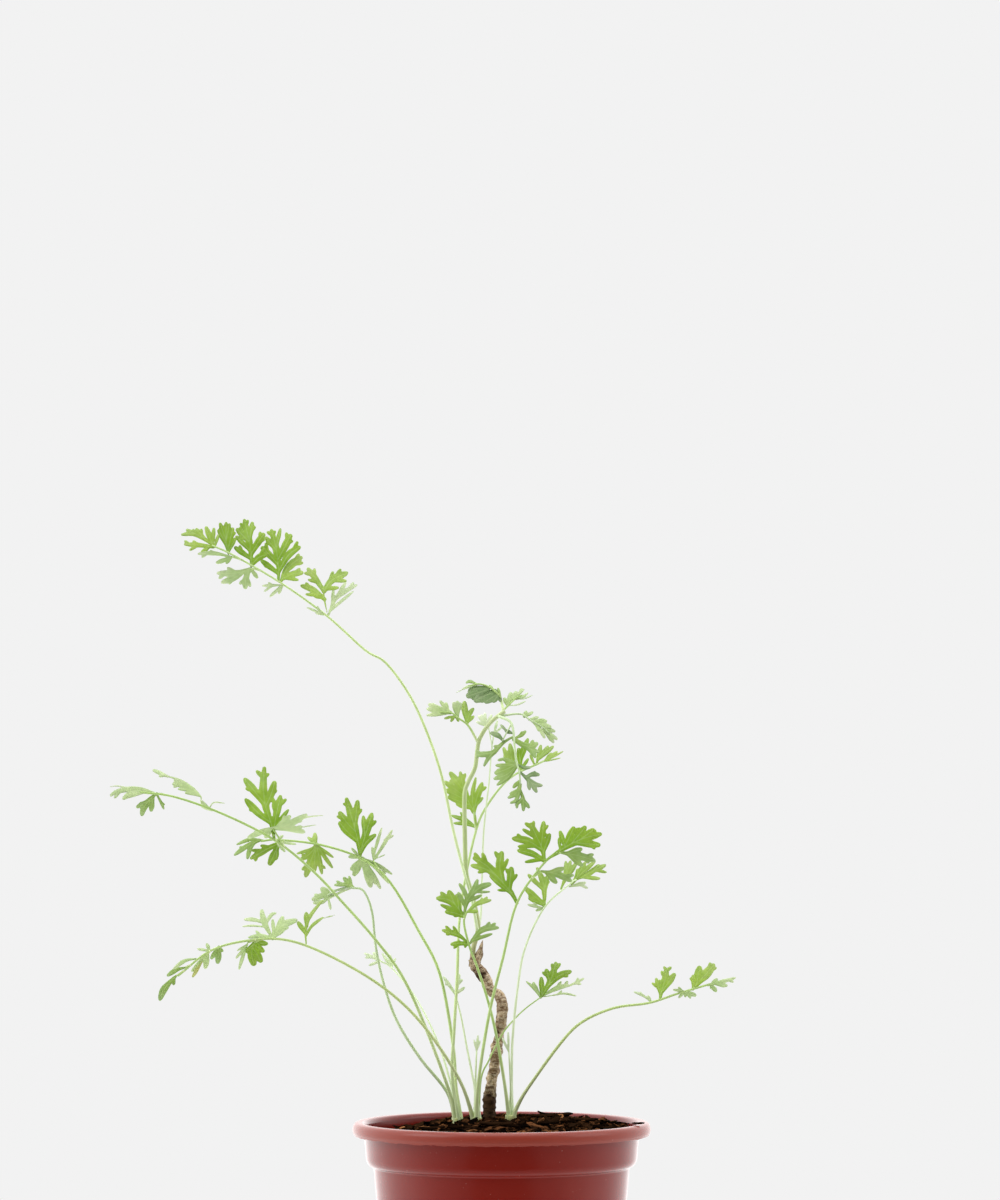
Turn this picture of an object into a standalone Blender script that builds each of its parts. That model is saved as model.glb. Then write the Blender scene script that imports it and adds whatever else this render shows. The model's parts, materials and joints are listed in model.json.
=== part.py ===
"""Potted wormwood: a live plant with lobed leaves, a woody stem and side crowns, in a plastic nursery pot.

Lengths below are in millimetres; the objects are built in metres, +Z up, with the centre of the pot's bottom
face at the origin and the plant's broad side facing -Y.
"""

import math

import bmesh
import bpy
from mathutils import Matrix, Vector
from mathutils.geometry import delaunay_2d_cdt

MM = 0.001

# ---------------------------------------------------------------- driving sizes
POT_H = 112.0            # bottom face to top of the rim
RIM_D = 130.0            # outside of the rolled lip
LIP_H = 5.6              # height of the lip
LIP_OUT = 5.0            # how far the lip stands out from the collar
COLLAR_H = 11.4          # straight band under the lip
SHOULDER_H = 2.8         # rounded step from the collar to the wall
SHOULDER_IN = 3.2        # how far the wall stands in from the collar's foot
WALL = 1.1               # pot wall, measured across
FLOOR_T = 1.6            # pot floor
TAPER = 0.084            # wall run-in per millimetre of height
DRAIN_D = 8.0            # drain holes
DRAIN_R = 30.0           # their distance from the pot's axis
DRAINS = 6
SEGMENTS = 40            # facets round the pot

GAP = 0.3                # free space between pieces that touch or rest on each other
SOIL_DROP = 5.0          # soil edge below the rim
MOUND = 6.0              # soil centre above its edge
SOIL_LEAN = 1.6          # extra height of the right-hand edge
SOIL_DRAWN = 57.4        # soil radius that the bark chips' places below are written for

GROWTH = 1.0             # length of every stem and leaf route against the tables below
DATUM = 112.0            # rim height on the ruler that the tables are written in
STANCE = 3000.0          # distance from which the tables' front outline holds
CROWN_D = 5.4            # rooted base that the petioles spring from
CROWN_H = 8.0
PETIOLE_D = 1.3          # leaf stalk at its foot
STALK_TIP = 0.55         # leaf stalk's thickness at its end, against its foot
YOUNG = 0.75             # thickness of a young leaf's stalk against a grown one
SHOOT_D = 2.1            # green shoot on the woody stem
BLADE_T = 0.5            # leaf blade
SIDES = 5                # facets round a stalk
FIBRE_D = 1.0            # dead root on the soil

CROWNS = {"left": (-19.2, 4.0), "middle": (-10.9, -4.0), "right": (4.1, -2.0)}
WOOD_FOOT = (-5.4, 7.0)

# Woody stem: x, y, z, thickness.
WOOD = [(-5.4, 7, 106, 6.4), (-5.5, 7, 116.2, 5.2), (-5.1, 7, 121.4, 5.2), (-4.6, 7.4, 126.9, 4.4),
        (-3.6, 7, 133.2, 4.6), (-2.9, 6.6, 138.4, 4.1), (-2, 7, 145.4, 4.4), (-0.7, 7.4, 150.6, 3.4),
        (-0.3, 7.6, 155.8, 4.8), (0.3, 7.4, 161.1, 5.0), (-0.4, 7, 165.9, 4.6), (-2.6, 7, 168.1, 3.9),
        (-4.6, 7.2, 169.3, 3.6), (-6.2, 7.6, 172.6, 4.4), (-9, 8, 177, 4.8), (-12, 8, 180.3, 4.1),
        (-12.9, 8, 182.9, 3.0)]
SHOOT = [(-12.6, 8, 184.9), (-12, 8, 189), (-10.3, 8, 195.5), (-11.2, 8, 203.4), (-13.8, 8, 213.8),
         (-15.5, 8, 220.8), (-16, 8, 236.1), (-16.2, 8, 247.4), (-16, 8, 255.7), (-14.6, 8, 260),
         (-11.6, 8, 266.2), (-10.7, 8, 273.1), (-9.9, 8, 277.9), (-7.7, 8, 282.3), (-4.6, 8, 286.2),
         (-1.6, 8, 288.8), (1.5, 8, 291)]

# Leaves. "on" names what the stalk springs from and the bearing of its foot there, in degrees seen from above.
# "run" is the stalk's route. Each blade is (x, z of its base, lean sideways, lean upwards, its lobe tips as
# steps across and up from that base); the leans say how far it goes back per millimetre across and up.
LEAVES = {
    "leaf_left_long": dict(on=("left", 216), run=[
        (-22.9, 3, 125.3), (-34.3, 0, 155.8), (-43.9, -7, 176.3), (-55.6, -15, 192), (-68.3, -20, 206.4),
        (-81.8, -25, 220.8), (-98.4, -30, 234.3), (-120.6, -35, 245.7), (-142.4, -38, 253.5),
        (-158, -40, 255.6)], blades=[
        (-99.2, 234.8, 0.1, 0.35, [(6.5, 13.5), (5.2, 18), (1.3, 25.7), (-4.4, 32.3), (-7.4, 30.5),
                                   (-13.5, 27), (-13, 18.3)]),
        (-106.2, 237.8, 0.1, -1.2, [(21, 8.3), (27, 7.8)]),
        (-131.5, 250, 0.2, 0.6, [(-10.5, 11), (-20.9, 15.7)]),
        (-131.5, 250, -0.4, -0.8, [(11.3, 1)]),
        (-151.6, 255.3, 0.1, -0.5, [(-7.4, -6), (-5.7, -10), (-1.3, -7.8), (4.4, -7.4)]),
        (-157.6, 255.3, 0.2, 0.8, [(-14, 2.6), (-13.5, -2.2), (-7.4, -3.1)])]),
    "leaf_left_back": dict(on=("left", 0), run=[
        (-19.9, 7.5, 127.1), (-21.2, 11, 145.4), (-26.9, 15, 176.3), (-36.4, 19, 195.5), (-48.7, 22, 216.4),
        (-60.9, 25, 226.5), (-78.7, 26, 232.6), (-97.5, 28, 234.8), (-105, 28, 234.2)], blades=[
        (-61.3, 227.2, 0.1, 0.25, [(6.5, 9.2), (6.5, 15.3), (4.8, 18.7), (-1.3, 24.4), (-6.1, 25.3),
                                   (-9.6, 19.2), (-9.6, 15.3)]),
        (-55.2, 223.4, 0.8, 0.5, [(5, 3.1), (8.3, 12.3), (7.4, 15), (2.6, 16.6)]),
        (-60, 226, -0.3, -0.5, [(-7, 1.3), (-5.7, -6.5), (3.1, -12.2), (7.4, -12.2), (12.2, -6.1)]),
        (-79.6, 232.6, 0.2, -0.3, [(-10, -3.5), (-8.3, -7), (-6.1, -14), (1.3, -12.2), (6.1, -10),
                                   (6.5, -5.2)]),
        (-80, 232.6, 0.2, 0.9, [(-1.3, 5.2), (-7.4, 5.6)]),
        (-97, 234.5, 0.2, -0.4, [(-12.6, -8), (-9.2, -9), (-3.9, -11)]),
        (-104.5, 233.9, 0.3, 0.3, [(-11.3, -0.9), (-12.2, -5.7), (-6.5, -7.4)])]),
    "leaf_left_inner": dict(on=("left", 144), run=[
        (-23.8, 6, 124.9), (-35.6, 7, 139.7), (-45.6, 8, 155.8), (-51.3, 9, 171.8), (-54.8, 10, 187.7),
        (-56.5, 10, 203.4), (-60, 11, 212.3), (-64.4, 12, 213.8), (-70.5, 12, 213.4), (-77, 12, 209.9)],
        blades=[
        (-65.4, 213.8, 0.3, 0.7, [(0.5, 4.4), (-5.2, 4.4), (-8.7, 1.7)]),
        (-69, 213.6, 0.2, -0.8, [(-6.5, -8.3), (-3, -7.5), (0.4, -6)]),
        (-72, 212.8, 0.2, 0.7, [(-3, 5), (-8.7, 2.4)]),
        (-77, 209.9, 0.2, 0.3, [(-5.7, 2.2), (-6.1, -2.6), (-3.9, -6.5)])]),
    "leaf_left_low": dict(on=("middle", 198), run=[
        (-18.6, -7, 130.6), (-34.3, -12, 154.1), (-51.3, -18, 170.2), (-73.1, -25, 183.3),
        (-93.1, -32, 191), (-110.6, -38, 190.9), (-127.1, -43, 186.4), (-141.1, -48, 175.5)], blades=[
        (-85.3, 188.4, 0.2, 0.3, [(7.4, 12.3), (8.3, 21), (-3.5, 10.6)]),
        (-101.4, 191.6, 0.3, 0.9, [(4.4, 3.5), (11.8, 8.7), (6.1, 10), (3.1, 11.3), (-3.1, 12.6),
                                   (-10.5, 8.3), (-11.8, 5.7)]),
        (-108, 190.9, 0.2, -0.2, [(5.7, -1.3), (4.4, -4.4), (3.5, -8.3), (0, -10.5)]),
        (-112.7, 190.5, 0.5, -0.9, [(-1.7, -12.3), (-4.5, -8)]),
        (-124, 187.6, 0.2, -0.5, [(-0.4, -7), (3, -4)]),
        (-126.5, 186.6, 0.2, 0.9, [(-5, 3.3), (-1, 4.6)]),
        (-133, 182.2, 0.2, -0.4, [(1.5, -5.5), (-1.8, -6.8)]),
        (-137, 179, 0.2, 0.5, [(-5.2, 1.6), (-8.4, -0.4)]),
        (-141, 175.6, 0.2, 0.2, [(-8.4, -10.6), (-5, -2.2)])]),
    "leaf_top_long": dict(on=("shoot", 12.5, 250), run=[
        (-12.9, 3, 208.6), (-16.4, 2, 220.8), (-21.2, 0, 239.6), (-26, -3, 262.2), (-32.1, -5, 280.5),
        (-39.9, -8, 297.5), (-50.4, -10, 311.9), (-59.6, -12, 317.6), (-76.1, -14, 332.4),
        (-96.2, -16, 346.8), (-117.1, -17, 359), (-126.3, -18, 363.2)], blades=[
        (-126.3, 363.2, 0.1, 0.3, [(0.9, 7.4), (-3, 7.8), (-11.3, 7), (-13.5, 4.6), (-12.2, 0.4),
                                   (-10, -2.2), (-4.4, -3.9)]),
        (-119.7, 360.4, 0.1, 0.35, [(3.1, 10.9), (-0.4, 14), (-3.1, 13.1), (-3.9, 10)]),
        (-109.7, 354.9, 0.1, 0.3, [(7, 4.4), (5.7, 14), (0.9, 19.2), (-2.6, 20.1), (-6.1, 16.6),
                                   (-6.5, 8.3)]),
        (-97.4, 347.5, -0.1, 0.35, [(8.3, 16.7), (3.5, 20.7), (0.4, 22.4), (-3.5, 22.4), (-7.4, 15.4),
                                    (-7.8, 9.3)]),
        (-95, 346.1, 0.4, 0.5, [(7.5, 2.5), (8.5, 5.5), (8.3, 9.9), (7.4, 12.4)]),
        (-77.4, 344.4, 0.1, 0.3, [(9.6, 3.1), (10, 6.1), (-7, 8.3), (-10, 0.9), (-7.8, -2.6)]),
        (-73.1, 339.8, 0.3, 0.6, [(9, -1.7), (7.8, 0.4), (9.6, 6.1)]),
        (-119.3, 360.2, 0.2, -0.9, [(-13.5, -1.4), (-4.8, -5), (-0.9, -5)]),
        (-108.8, 354.4, 0.2, -0.9, [(-13.6, -1), (-15, -6.4), (-10, -7.4), (-2.4, -9.7), (2.2, -5.8)]),
        (-95.3, 346.3, 0.2, -0.9, [(-9.2, -1.3), (-8.3, -3.6), (-5.7, -5.6)]),
        (-77.5, 333.4, 0.3, -0.8, [(-8.7, 1), (-4.8, -1)])]),
    "leaf_back_right": dict(on=("left", 288), run=[
        (-21.6, 3.3, 132.3), (-20.8, 4, 150.6), (-19.4, 6, 174.6), (-18.6, 10, 197.3), (-16, 14, 216.9),
        (-11.2, 15, 238.7), (-6.4, 16, 249.6), (3.7, 17, 261.8), (18.5, 19, 269.2)], blades=[
        (-12, 244.6, 0.1, 0.3, [(5, 11.8), (3.5, 14), (0.4, 16.2), (-6.1, 19.2), (-10.5, 18.8),
                                (-13.1, 15), (-12.6, 11), (-10, 6.2)]),
        (-10.9, 239.6, 0.2, 0.9, [(-6.6, 7), (-10.6, 6.1), (-10, 2.6)]),
        (9.6, 264.9, 0.1, 0.5, [(-5, 9), (-1, 12), (2.4, 14)]),
        (14.4, 267.2, 0.1, 0.5, [(8.6, 8.2), (5.5, 9), (2.6, 9.2)]),
        (18.5, 269.2, 0.2, 0.4, [(8.3, 4.4), (6.5, 6.9), (7.5, 1)])]),
    "leaf_thin_behind": dict(on=("shoot", 11.5, 70), thick=0.75, run=[
        (-9, 12, 203.3), (-8.5, 12, 219.5), (-7.7, 12, 239.6), (-5.5, 12.4, 259.6), (-4.6, 13, 271.4),
        (-3.4, 14, 281)], blades=[
        (-3.4, 281, 0.2, 0.6, [(4, 3.5), (1.6, 6), (-2.6, 4.4)])]),
    "leaf_shoot_left": dict(on=("shoot", 93, 200), thick=0.8, run=[
        (-14.6, 5, 284.7), (-19, 4, 288), (-21.8, 3, 290.1), (-26.9, 2, 290.6)], blades=[
        (-26.9, 290.6, 0.1, 0.4, [(-5.6, 1.8), (-6.1, -1.3)]),
        (-23, 290.2, 0.1, 0.4, [(-1.5, 4.6), (-4.2, 5.2)]),
        (-20.2, 289, 0.1, 0.4, [(3.6, 6.4), (-1, 6.1)]),
        (-22.4, 290.2, 0.1, -0.4, [(0.6, -4.2), (-2.7, -3)]),
        (-19.6, 288.4, 0.1, -0.4, [(1, -2.8), (-1, -2.6)]),
        (-15.5, 285.4, 0.1, 0.4, [(3.4, 3.6), (3.2, 7)])]),
    "leaf_shoot_crest": dict(on=("shoot", 116.5, 150), thick=0.8, run=[
        (-0.3, 11, 295.8), (-2.2, 11, 298.9), (-5.5, 10.5, 301.5), (-9.9, 10, 302.8),
        (-14.6, 9, 301.9)], blades=[
        (-14.6, 301.9, 0.2, 0.6, [(-6.2, -3), (-3.6, -4.6), (-4.5, 1)]),
        (-11.5, 302.8, 0.2, 0.8, [(-1.4, -6.2), (-4, -5)]),
        (-7.8, 302.4, 0.2, 0.8, [(3, -5.5), (0.4, -7.4), (-2, -6.2)]),
        (-3.6, 300.2, 0.2, 0.8, [(4.4, -2), (2.8, -4.8), (-0.6, -5.4)]),
        (-10, 302.8, 0.2, 0.8, [(1.5, 1.8), (-2.4, 2)])]),
    "leaf_shoot_pale": dict(on=("shoot", 115, 90), thick=0.7, run=[
        (5.8, 14, 296.2), (9, 15, 298)], blades=[
        (9, 298, 0.2, 0.7, [(1.6, -2.6), (5, 0), (2.5, 1.6)]),
        (6.2, 296.5, 0.2, 0.7, [(4.4, -2), (3.6, -3)]),
        (6.2, 296.5, 0.2, 0.7, [(2.8, 3.6), (0.2, 3)])]),
    "leaf_shoot_right": dict(on=("shoot", 115.5, 0), thick=0.7, run=[
        (8, 8, 289.7), (12.4, 7, 287.1), (17.8, 6, 284), (21, 5, 281)], blades=[
        (21, 281, 0.2, 0.4, [(2.3, -4.4), (4, -2.8), (2.6, 1.3)]),
        (9.5, 289, 0.2, 0.5, [(4.2, 1.8), (1.6, 2.2)]),
        (10, 288.6, 0.2, 0.5, [(0.4, -3.6), (3, -3.6)]),
        (14, 286.2, 0.2, 0.5, [(4.4, 1)]),
        (14, 286.2, 0.2, 0.5, [(2.3, -4.2), (0, -3)]),
        (18, 284, 0.2, 0.5, [(4.8, -0.6), (3.7, 0.9)]),
        (18, 284, 0.2, 0.5, [(1, -4.8), (-1.4, -3)])]),
    "leaf_shoot_hanging": dict(on=("shoot", 115, 290), thick=0.9, run=[
        (4.3, 2, 285.5), (5.7, -2, 275.5), (6.5, -5, 268.8), (7.8, -7, 264), (8.2, -8, 256.6)], blades=[
        (5, 279.4, -0.2, 0.4, [(-5.2, 0.4), (-9.6, 1.7), (-16.1, -6.5), (-16.1, -8.7), (-12.6, -13.1),
                               (-7.4, -6.5)]),
        (5, 279.4, 0.3, 0.4, [(5.7, 3.1), (9.2, -1.3), (10.9, -3.1), (10, -10.5)]),
        (6.4, 268.3, -0.2, 0.4, [(-7, 1.7), (-8.7, -1.3), (-9.6, -6.5), (-8.7, -9.2)]),
        (6.4, 268.3, 0.2, 0.4, [(6.1, -2.2)]),
        (7.8, 264, 0.3, 0.4, [(8.3, -0.9), (9.6, -5.2), (7.4, -7.8), (3.9, -7.4)]),
        (7.8, 264, 0, 0.4, [(-2.6, -6.5), (-5.2, -10.9), (-2.2, -13.1)]),
        (8.2, 256.6, 0, 0.4, [(-1.3, -6.5), (2.2, -9.2), (4.4, -7.8)])]),
    "leaf_front_small": dict(on=("right", 225), run=[
        (1.5, -4, 127.1), (-2, -5.5, 148), (-5.7, -6.5, 163.7), (-10.5, -7.5, 178.9), (-13.8, -8, 187.7),
        (-16.2, -8, 197), (-16.4, -8, 203), (-14, -8, 210)], blades=[
        (-16.6, 202.1, 0.1, 0.3, [(-1.6, 7), (-6.1, 10.5), (-8.7, 9.6), (-11.3, 7.4), (-7.4, 1.3)]),
        (-16.2, 203.4, -0.1, 0.3, [(5.7, 0.8), (12, 5.2), (9.6, 6.1)]),
        (-14, 210, 0.1, 0.3, [(9.4, 6), (2.8, 7.3), (-4.6, 5.6), (-4.6, 1.6)]),
        (-14.6, 190.3, 0.1, 0.3, [(-7, 6.5), (-11.3, 5.2), (-7.4, -0.9), (-1.7, -2.2)]),
        (-14.6, 190.3, -0.1, 0.3, [(6.1, 2.2), (10.5, 3.9), (13.1, 6.1), (9.6, 8.3)])]),
    "leaf_front_large": dict(on=("middle", 270), run=[
        (-10.5, -6.8, 124.9), (-8.4, -8, 141.6), (-4.6, -9, 162.8), (0.6, -11, 183.3), (6.7, -14, 207.3),
        (17.6, -17, 223.6), (24.9, -20, 230), (29.8, -22, 232.6)], blades=[
        (4.6, 211.7, 0.1, 0.3, [(2.6, 8.3), (-1.3, 15.3), (-4.4, 17.9), (-13.1, 17), (-17, 16.6),
                                (-17.4, 12.2), (-14.4, 9.6), (-5.7, 1.3)]),
        (18.1, 224.3, 0.1, 0.3, [(3.1, 13.1), (0.4, 18.3), (-5.7, 18.3), (-13.5, 11.3), (-10.9, 6.1),
                                 (-8.3, 1.3)]),
        (17.2, 222.8, 0.2, -0.9, [(9.6, -0.7), (13.5, -3.3), (12.2, -6.4), (6.1, -6.8)]),
        (25.6, 230.2, 0.2, -0.7, [(8.7, 0.7), (14, -1.4), (14.8, -4.5), (9.2, -6.2)]),
        (29.8, 232.6, 0.1, 0.3, [(10.9, -1), (13.1, 0.9), (14, 5), (10.5, 7.2), (7, 8.5), (1.7, 8.1),
                                 (-4.4, 6.3)])]),
    "leaf_right_pale": dict(on=("right", 45), thick=0.85, run=[
        (4.6, 0.3, 119), (4.4, 2, 130), (4.8, 2.4, 148), (6.9, 2.6, 169.1), (10.1, 3, 187.2),
        (18.5, 4, 205.1), (29.8, 5, 215.6), (37.2, 6, 219.5)], blades=[
        (18.5, 205.1, 0.1, 0.3, [(1.7, 11.8), (-0.4, 13.5), (-4, 16.8), (-7, 14.4), (-7, 7), (-7, 3.9)]),
        (17.6, 204, 0.1, -0.3, [(-6.5, 1.3), (-3.9, -1.3)]),
        (24.2, 211.2, 0.1, 0.4, [(5.6, 14.5), (3.9, 14)]),
        (29.8, 215.6, 0.1, 0.4, [(10.9, 9.6), (7, 9.8), (2.6, 6.1)]),
        (30.2, 215.8, 0.1, -0.5, [(7, -0.6), (7.4, -3)]),
        (37.2, 219.5, 0.1, 0.4, [(5.7, -1.3), (8.7, 1.3), (8.3, 4.4)])]),
    "leaf_right_small": dict(on=("middle", 54), thick=0.85, run=[
        (-9, -2, 130.6), (-5.7, -0.5, 138.4), (-3.1, 0.8, 143.8), (0.6, 2, 150.6), (4.8, 5.2, 155.8),
        (10.2, 8, 161.1), (17.2, 11, 166.3)], blades=[
        (17.2, 166.3, 0.1, 0.4, [(15.7, 0.6), (18.7, 7.6), (12.4, 9.6), (6.5, 14.8), (0.9, 10.9),
                                 (-7, 6.5)])]),
    "leaf_right_far": dict(on=("right", 315), run=[
        (7.6, -3.4, 120.1), (12.4, -5, 127.9), (25.7, -8, 146.1), (35.1, -10, 155.4), (49, -12, 161.5),
        (64.3, -13, 163.7), (76.9, -14, 167.8), (91.1, -15, 172)], blades=[
        (65.1, 163.9, 0.2, 0.5, [(-7.4, 4.6), (-4, 5.4)]),
        (68.6, 165.1, 0.1, 0.3, [(7, 11.7), (5.2, 13.9), (2.6, 14.3), (-0.9, 9.5), (-3.1, 7.3)]),
        (83.5, 169.8, 0.1, 0.3, [(9.6, 9.6), (8.7, 10.9), (3.1, 9.1), (-0.4, 6.1)]),
        (83.5, 169.8, 0.2, -0.5, [(-8.4, -1.8), (-6.5, -4.3), (1.3, -3.4)]),
        (91.1, 172, 0.1, 0.3, [(2, -3.1), (7.2, -1.3), (11.5, 2.6), (4, 3)])]),
    "leaf_young_back": dict(on=("left", 72), thick=YOUNG, run=[
        (-24.2, 11, 135.8), (-30.3, 18, 152.4), (-38.6, 26, 167.6), (-47.8, 32, 178.9), (-53, 34, 182)],
        blades=[
        (-47.8, 178.9, 0.2, 0.4, [(-1, 6), (-4.4, 6.6)]),
        (-53, 182, 0.2, 0.3, [(-3, 3.8), (-7, 3.5), (-5, -2)])]),
    "leaf_young_middle": dict(on=("middle", 126), thick=YOUNG, run=[
        (-11.6, -1, 125.3), (-13.3, 1.5, 134.9), (-15.5, 5, 146.2), (-17.5, 9, 156.9),
        (-20, 11, 167)], blades=[
        (-20, 167, 0.1, 0.3, [(4, 3.6), (1.6, 9.6), (-5.6, 8.4)])]),
    "leaf_young_front": dict(on=("middle", 342), thick=YOUNG, run=[
        (-11.3, -4.4, 127.5), (-10.9, -4.6, 142.8)], blades=[
        (-10.9, 142.8, 0.1, 0.2, [(1.6, 4.6), (0.6, 7), (-1.2, 5)])]),
    "leaf_young_right": dict(on=("right", 135), thick=YOUNG, run=[
        (4, -1.5, 125), (3.2, -1.8, 142.3)], blades=[
        (3.2, 142.3, 0.1, 0.2, [(-0.4, 9), (-3, 6.4)])]),
}

# Bark chips on the soil: x, y, bearing, length, width, thickness.
CHIPS = {
    "chip_front_left": (-30, -20, 25, 12, 3.4, 1.4), "chip_front": (-2, -26, -12, 14, 3.6, 1.5),
    "chip_front_right": (20, -24, 35, 11, 3.2, 1.3), "chip_right": (36, -6, -30, 13, 4.0, 1.4),
    "chip_back_right": (24, 22, 15, 14, 3.6, 1.5), "chip_back": (6, 36, -20, 12, 3.4, 1.3),
    "chip_back_left": (-26, 30, 40, 12, 3.8, 1.4), "chip_left": (-40, 4, -65, 11, 3.2, 1.3),
    "chip_middle_right": (17, 2, -8, 12, 3.0, 1.3), "chip_far_right": (46, -24, 60, 9, 3.0, 1.2),
}
RIM_CHIP = (-19.0, 5.2, 1.8, 0.9)    # bearing, length, width, thickness

# ---------------------------------------------------------------- finishes: colour, roughness
POT_RED = ((0.26, 0.045, 0.032), 0.34)
SOIL_BROWN = ((0.030, 0.018, 0.012), 0.95)
BARK_DARK = ((0.020, 0.013, 0.010), 0.9)
BARK_TAN = ((0.22, 0.085, 0.035), 0.85)
WOOD_TAN = ((0.36, 0.24, 0.16), 0.8)
STEM_GREEN = ((0.36, 0.48, 0.25), 0.5)
CROWN_PALE = ((0.50, 0.62, 0.36), 0.55)
LEAF_GREEN = ((0.27, 0.45, 0.075), 0.5)
LEAF_SILVER = ((0.40, 0.54, 0.36), 0.6)
LEAF_PALE = ((0.56, 0.72, 0.44), 0.6)
SILVERY = ("leaf_shoot_crest", "leaf_shoot_hanging", "leaf_shoot_right", "leaf_left_inner")
PALE = ("leaf_young_back", "leaf_young_middle", "leaf_young_front", "leaf_young_right", "leaf_thin_behind",
        "leaf_shoot_pale")


def clear_scene():
    for old in list(bpy.data.objects):
        bpy.data.objects.remove(old, do_unlink=True)


def material(name, finish):
    made = bpy.data.materials.new(name)
    made.use_nodes = True
    shader = made.node_tree.nodes["Principled BSDF"]
    shader.inputs["Base Color"].default_value = (*finish[0], 1)
    shader.inputs["Roughness"].default_value = finish[1]
    shader.inputs["Metallic"].default_value = 0.0
    made.diffuse_color = (*finish[0], 1)
    return made


def place(name, bm, finish, origin, parent=None, smooth=True):
    """One named object whose own origin is at `origin` (millimetres), from a bmesh in millimetres."""
    bmesh.ops.recalc_face_normals(bm, faces=bm.faces)
    bm.transform(Matrix.Scale(MM, 4) @ Matrix.Translation(-Vector(origin)))
    mesh = bpy.data.meshes.new(name)
    bm.to_mesh(mesh)
    bm.free()
    for face in mesh.polygons:
        face.use_smooth = smooth
    mesh.materials.append(material(name, finish))
    made = bpy.data.objects.new(name, mesh)
    bpy.context.scene.collection.objects.link(made)
    base = Vector((0, 0, 0))
    if parent:
        made.parent = parent
        base = Vector(parent["foot"])
    made.location = (Vector(origin) - base) * MM
    made["foot"] = tuple(origin)
    return made


# ---------------------------------------------------------------- curves and shells
def grown(x, y, z):
    """A point of the tables on the plant: heights count from the rim, and depth keeps the front outline."""
    depth = (STANCE + y) / STANCE
    eye = 339.4 - DATUM
    return Vector((x * depth * GROWTH, y * GROWTH,
                   POT_H + (eye + (z - DATUM - eye) * depth) * GROWTH))


def smooth_route(points, per_span=2):
    """Catmull-Rom through the points, `per_span` pieces between each two."""
    ends = [2 * points[0] - points[1], *points, 2 * points[-1] - points[-2]]
    route = []
    for a, b, c, d in zip(ends, ends[1:], ends[2:], ends[3:]):
        for i in range(per_span):
            t = i / per_span
            route.append(0.5 * (2 * b + (c - a) * t + (2 * a - 5 * b + 4 * c - d) * t ** 2
                                + (3 * b - a - 3 * c + d) * t ** 3))
    return [*route, points[-1].copy()]


def tube(route, widths, sides):
    """A closed tube along the route, with its facets carried along without twist."""
    bm = bmesh.new()
    rings, side = [], None
    for i, point in enumerate(route):
        ahead = (route[min(i + 1, len(route) - 1)] - route[max(i - 1, 0)]).normalized()
        if side is None:
            side = ahead.orthogonal().normalized()
        side = (side - ahead * side.dot(ahead)).normalized()
        up = ahead.cross(side)
        rings.append([bm.verts.new(point + (side * math.cos(a) + up * math.sin(a)) * widths[i] / 2)
                      for a in (2 * math.pi * k / sides for k in range(sides))])
    for low, high in zip(rings, rings[1:]):
        for k in range(sides):
            bm.faces.new((low[k], low[(k + 1) % sides], high[(k + 1) % sides], high[k]))
    bm.faces.new(rings[0])
    bm.faces.new(rings[-1])
    return bm


def lathe(profile, segments):
    """A closed solid of revolution about Z from (radius, height) points that begin and end on the axis."""
    bm = bmesh.new()
    rings = []
    for radius, height in profile:
        if radius == 0:
            rings.append([bm.verts.new((0, 0, height))])
        else:
            rings.append([bm.verts.new((radius * math.cos(a), radius * math.sin(a), height))
                          for a in (2 * math.pi * k / segments for k in range(segments))])
    for low, high in zip(rings, rings[1:]):
        for k in range(segments):
            n = (k + 1) % segments
            corners = [low[k % len(low)], low[n % len(low)], high[n % len(high)], high[k % len(high)]]
            bm.faces.new(list(dict.fromkeys(corners)))
    return bm


def combine(base, others, operation="UNION"):
    """`base` with every other bmesh joined to it or cut from it, each by an exact Boolean."""
    objects = []
    for i, bm in enumerate([base, *others]):
        bmesh.ops.recalc_face_normals(bm, faces=bm.faces)
        mesh = bpy.data.meshes.new(f"work{i}")
        bm.to_mesh(mesh)
        bm.free()
        objects.append(bpy.data.objects.new(f"work{i}", mesh))
        bpy.context.scene.collection.objects.link(objects[-1])
    body = objects[0]
    for tool in objects[1:]:
        step = body.modifiers.new("join", "BOOLEAN")
        step.solver, step.operation, step.object = "EXACT", operation, tool
    bpy.context.view_layer.update()
    shape = bpy.data.meshes.new_from_object(body.evaluated_get(bpy.context.evaluated_depsgraph_get()))
    result = bmesh.new()
    result.from_mesh(shape)
    for done in objects:
        bpy.data.objects.remove(done, do_unlink=True)
    bmesh.ops.remove_doubles(result, verts=result.verts, dist=0.005)
    bmesh.ops.dissolve_degenerate(result, edges=result.edges, dist=0.005)
    bmesh.ops.triangulate(result, faces=result.faces)
    return result


# ---------------------------------------------------------------- pot and soil
def collar_radius():
    return RIM_D / 2 - LIP_OUT


def wall_in(height):
    """Radius of the pot's inner wall at a height."""
    shoulder = POT_H - LIP_H - COLLAR_H
    if height >= shoulder:
        return collar_radius() - 1.0 - WALL
    if height >= shoulder - SHOULDER_H:
        part = (shoulder - height) / SHOULDER_H
        return collar_radius() - 1.0 - WALL - part * SHOULDER_IN
    return collar_radius() - 1.0 - WALL - SHOULDER_IN - TAPER * (shoulder - SHOULDER_H - height)


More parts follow.
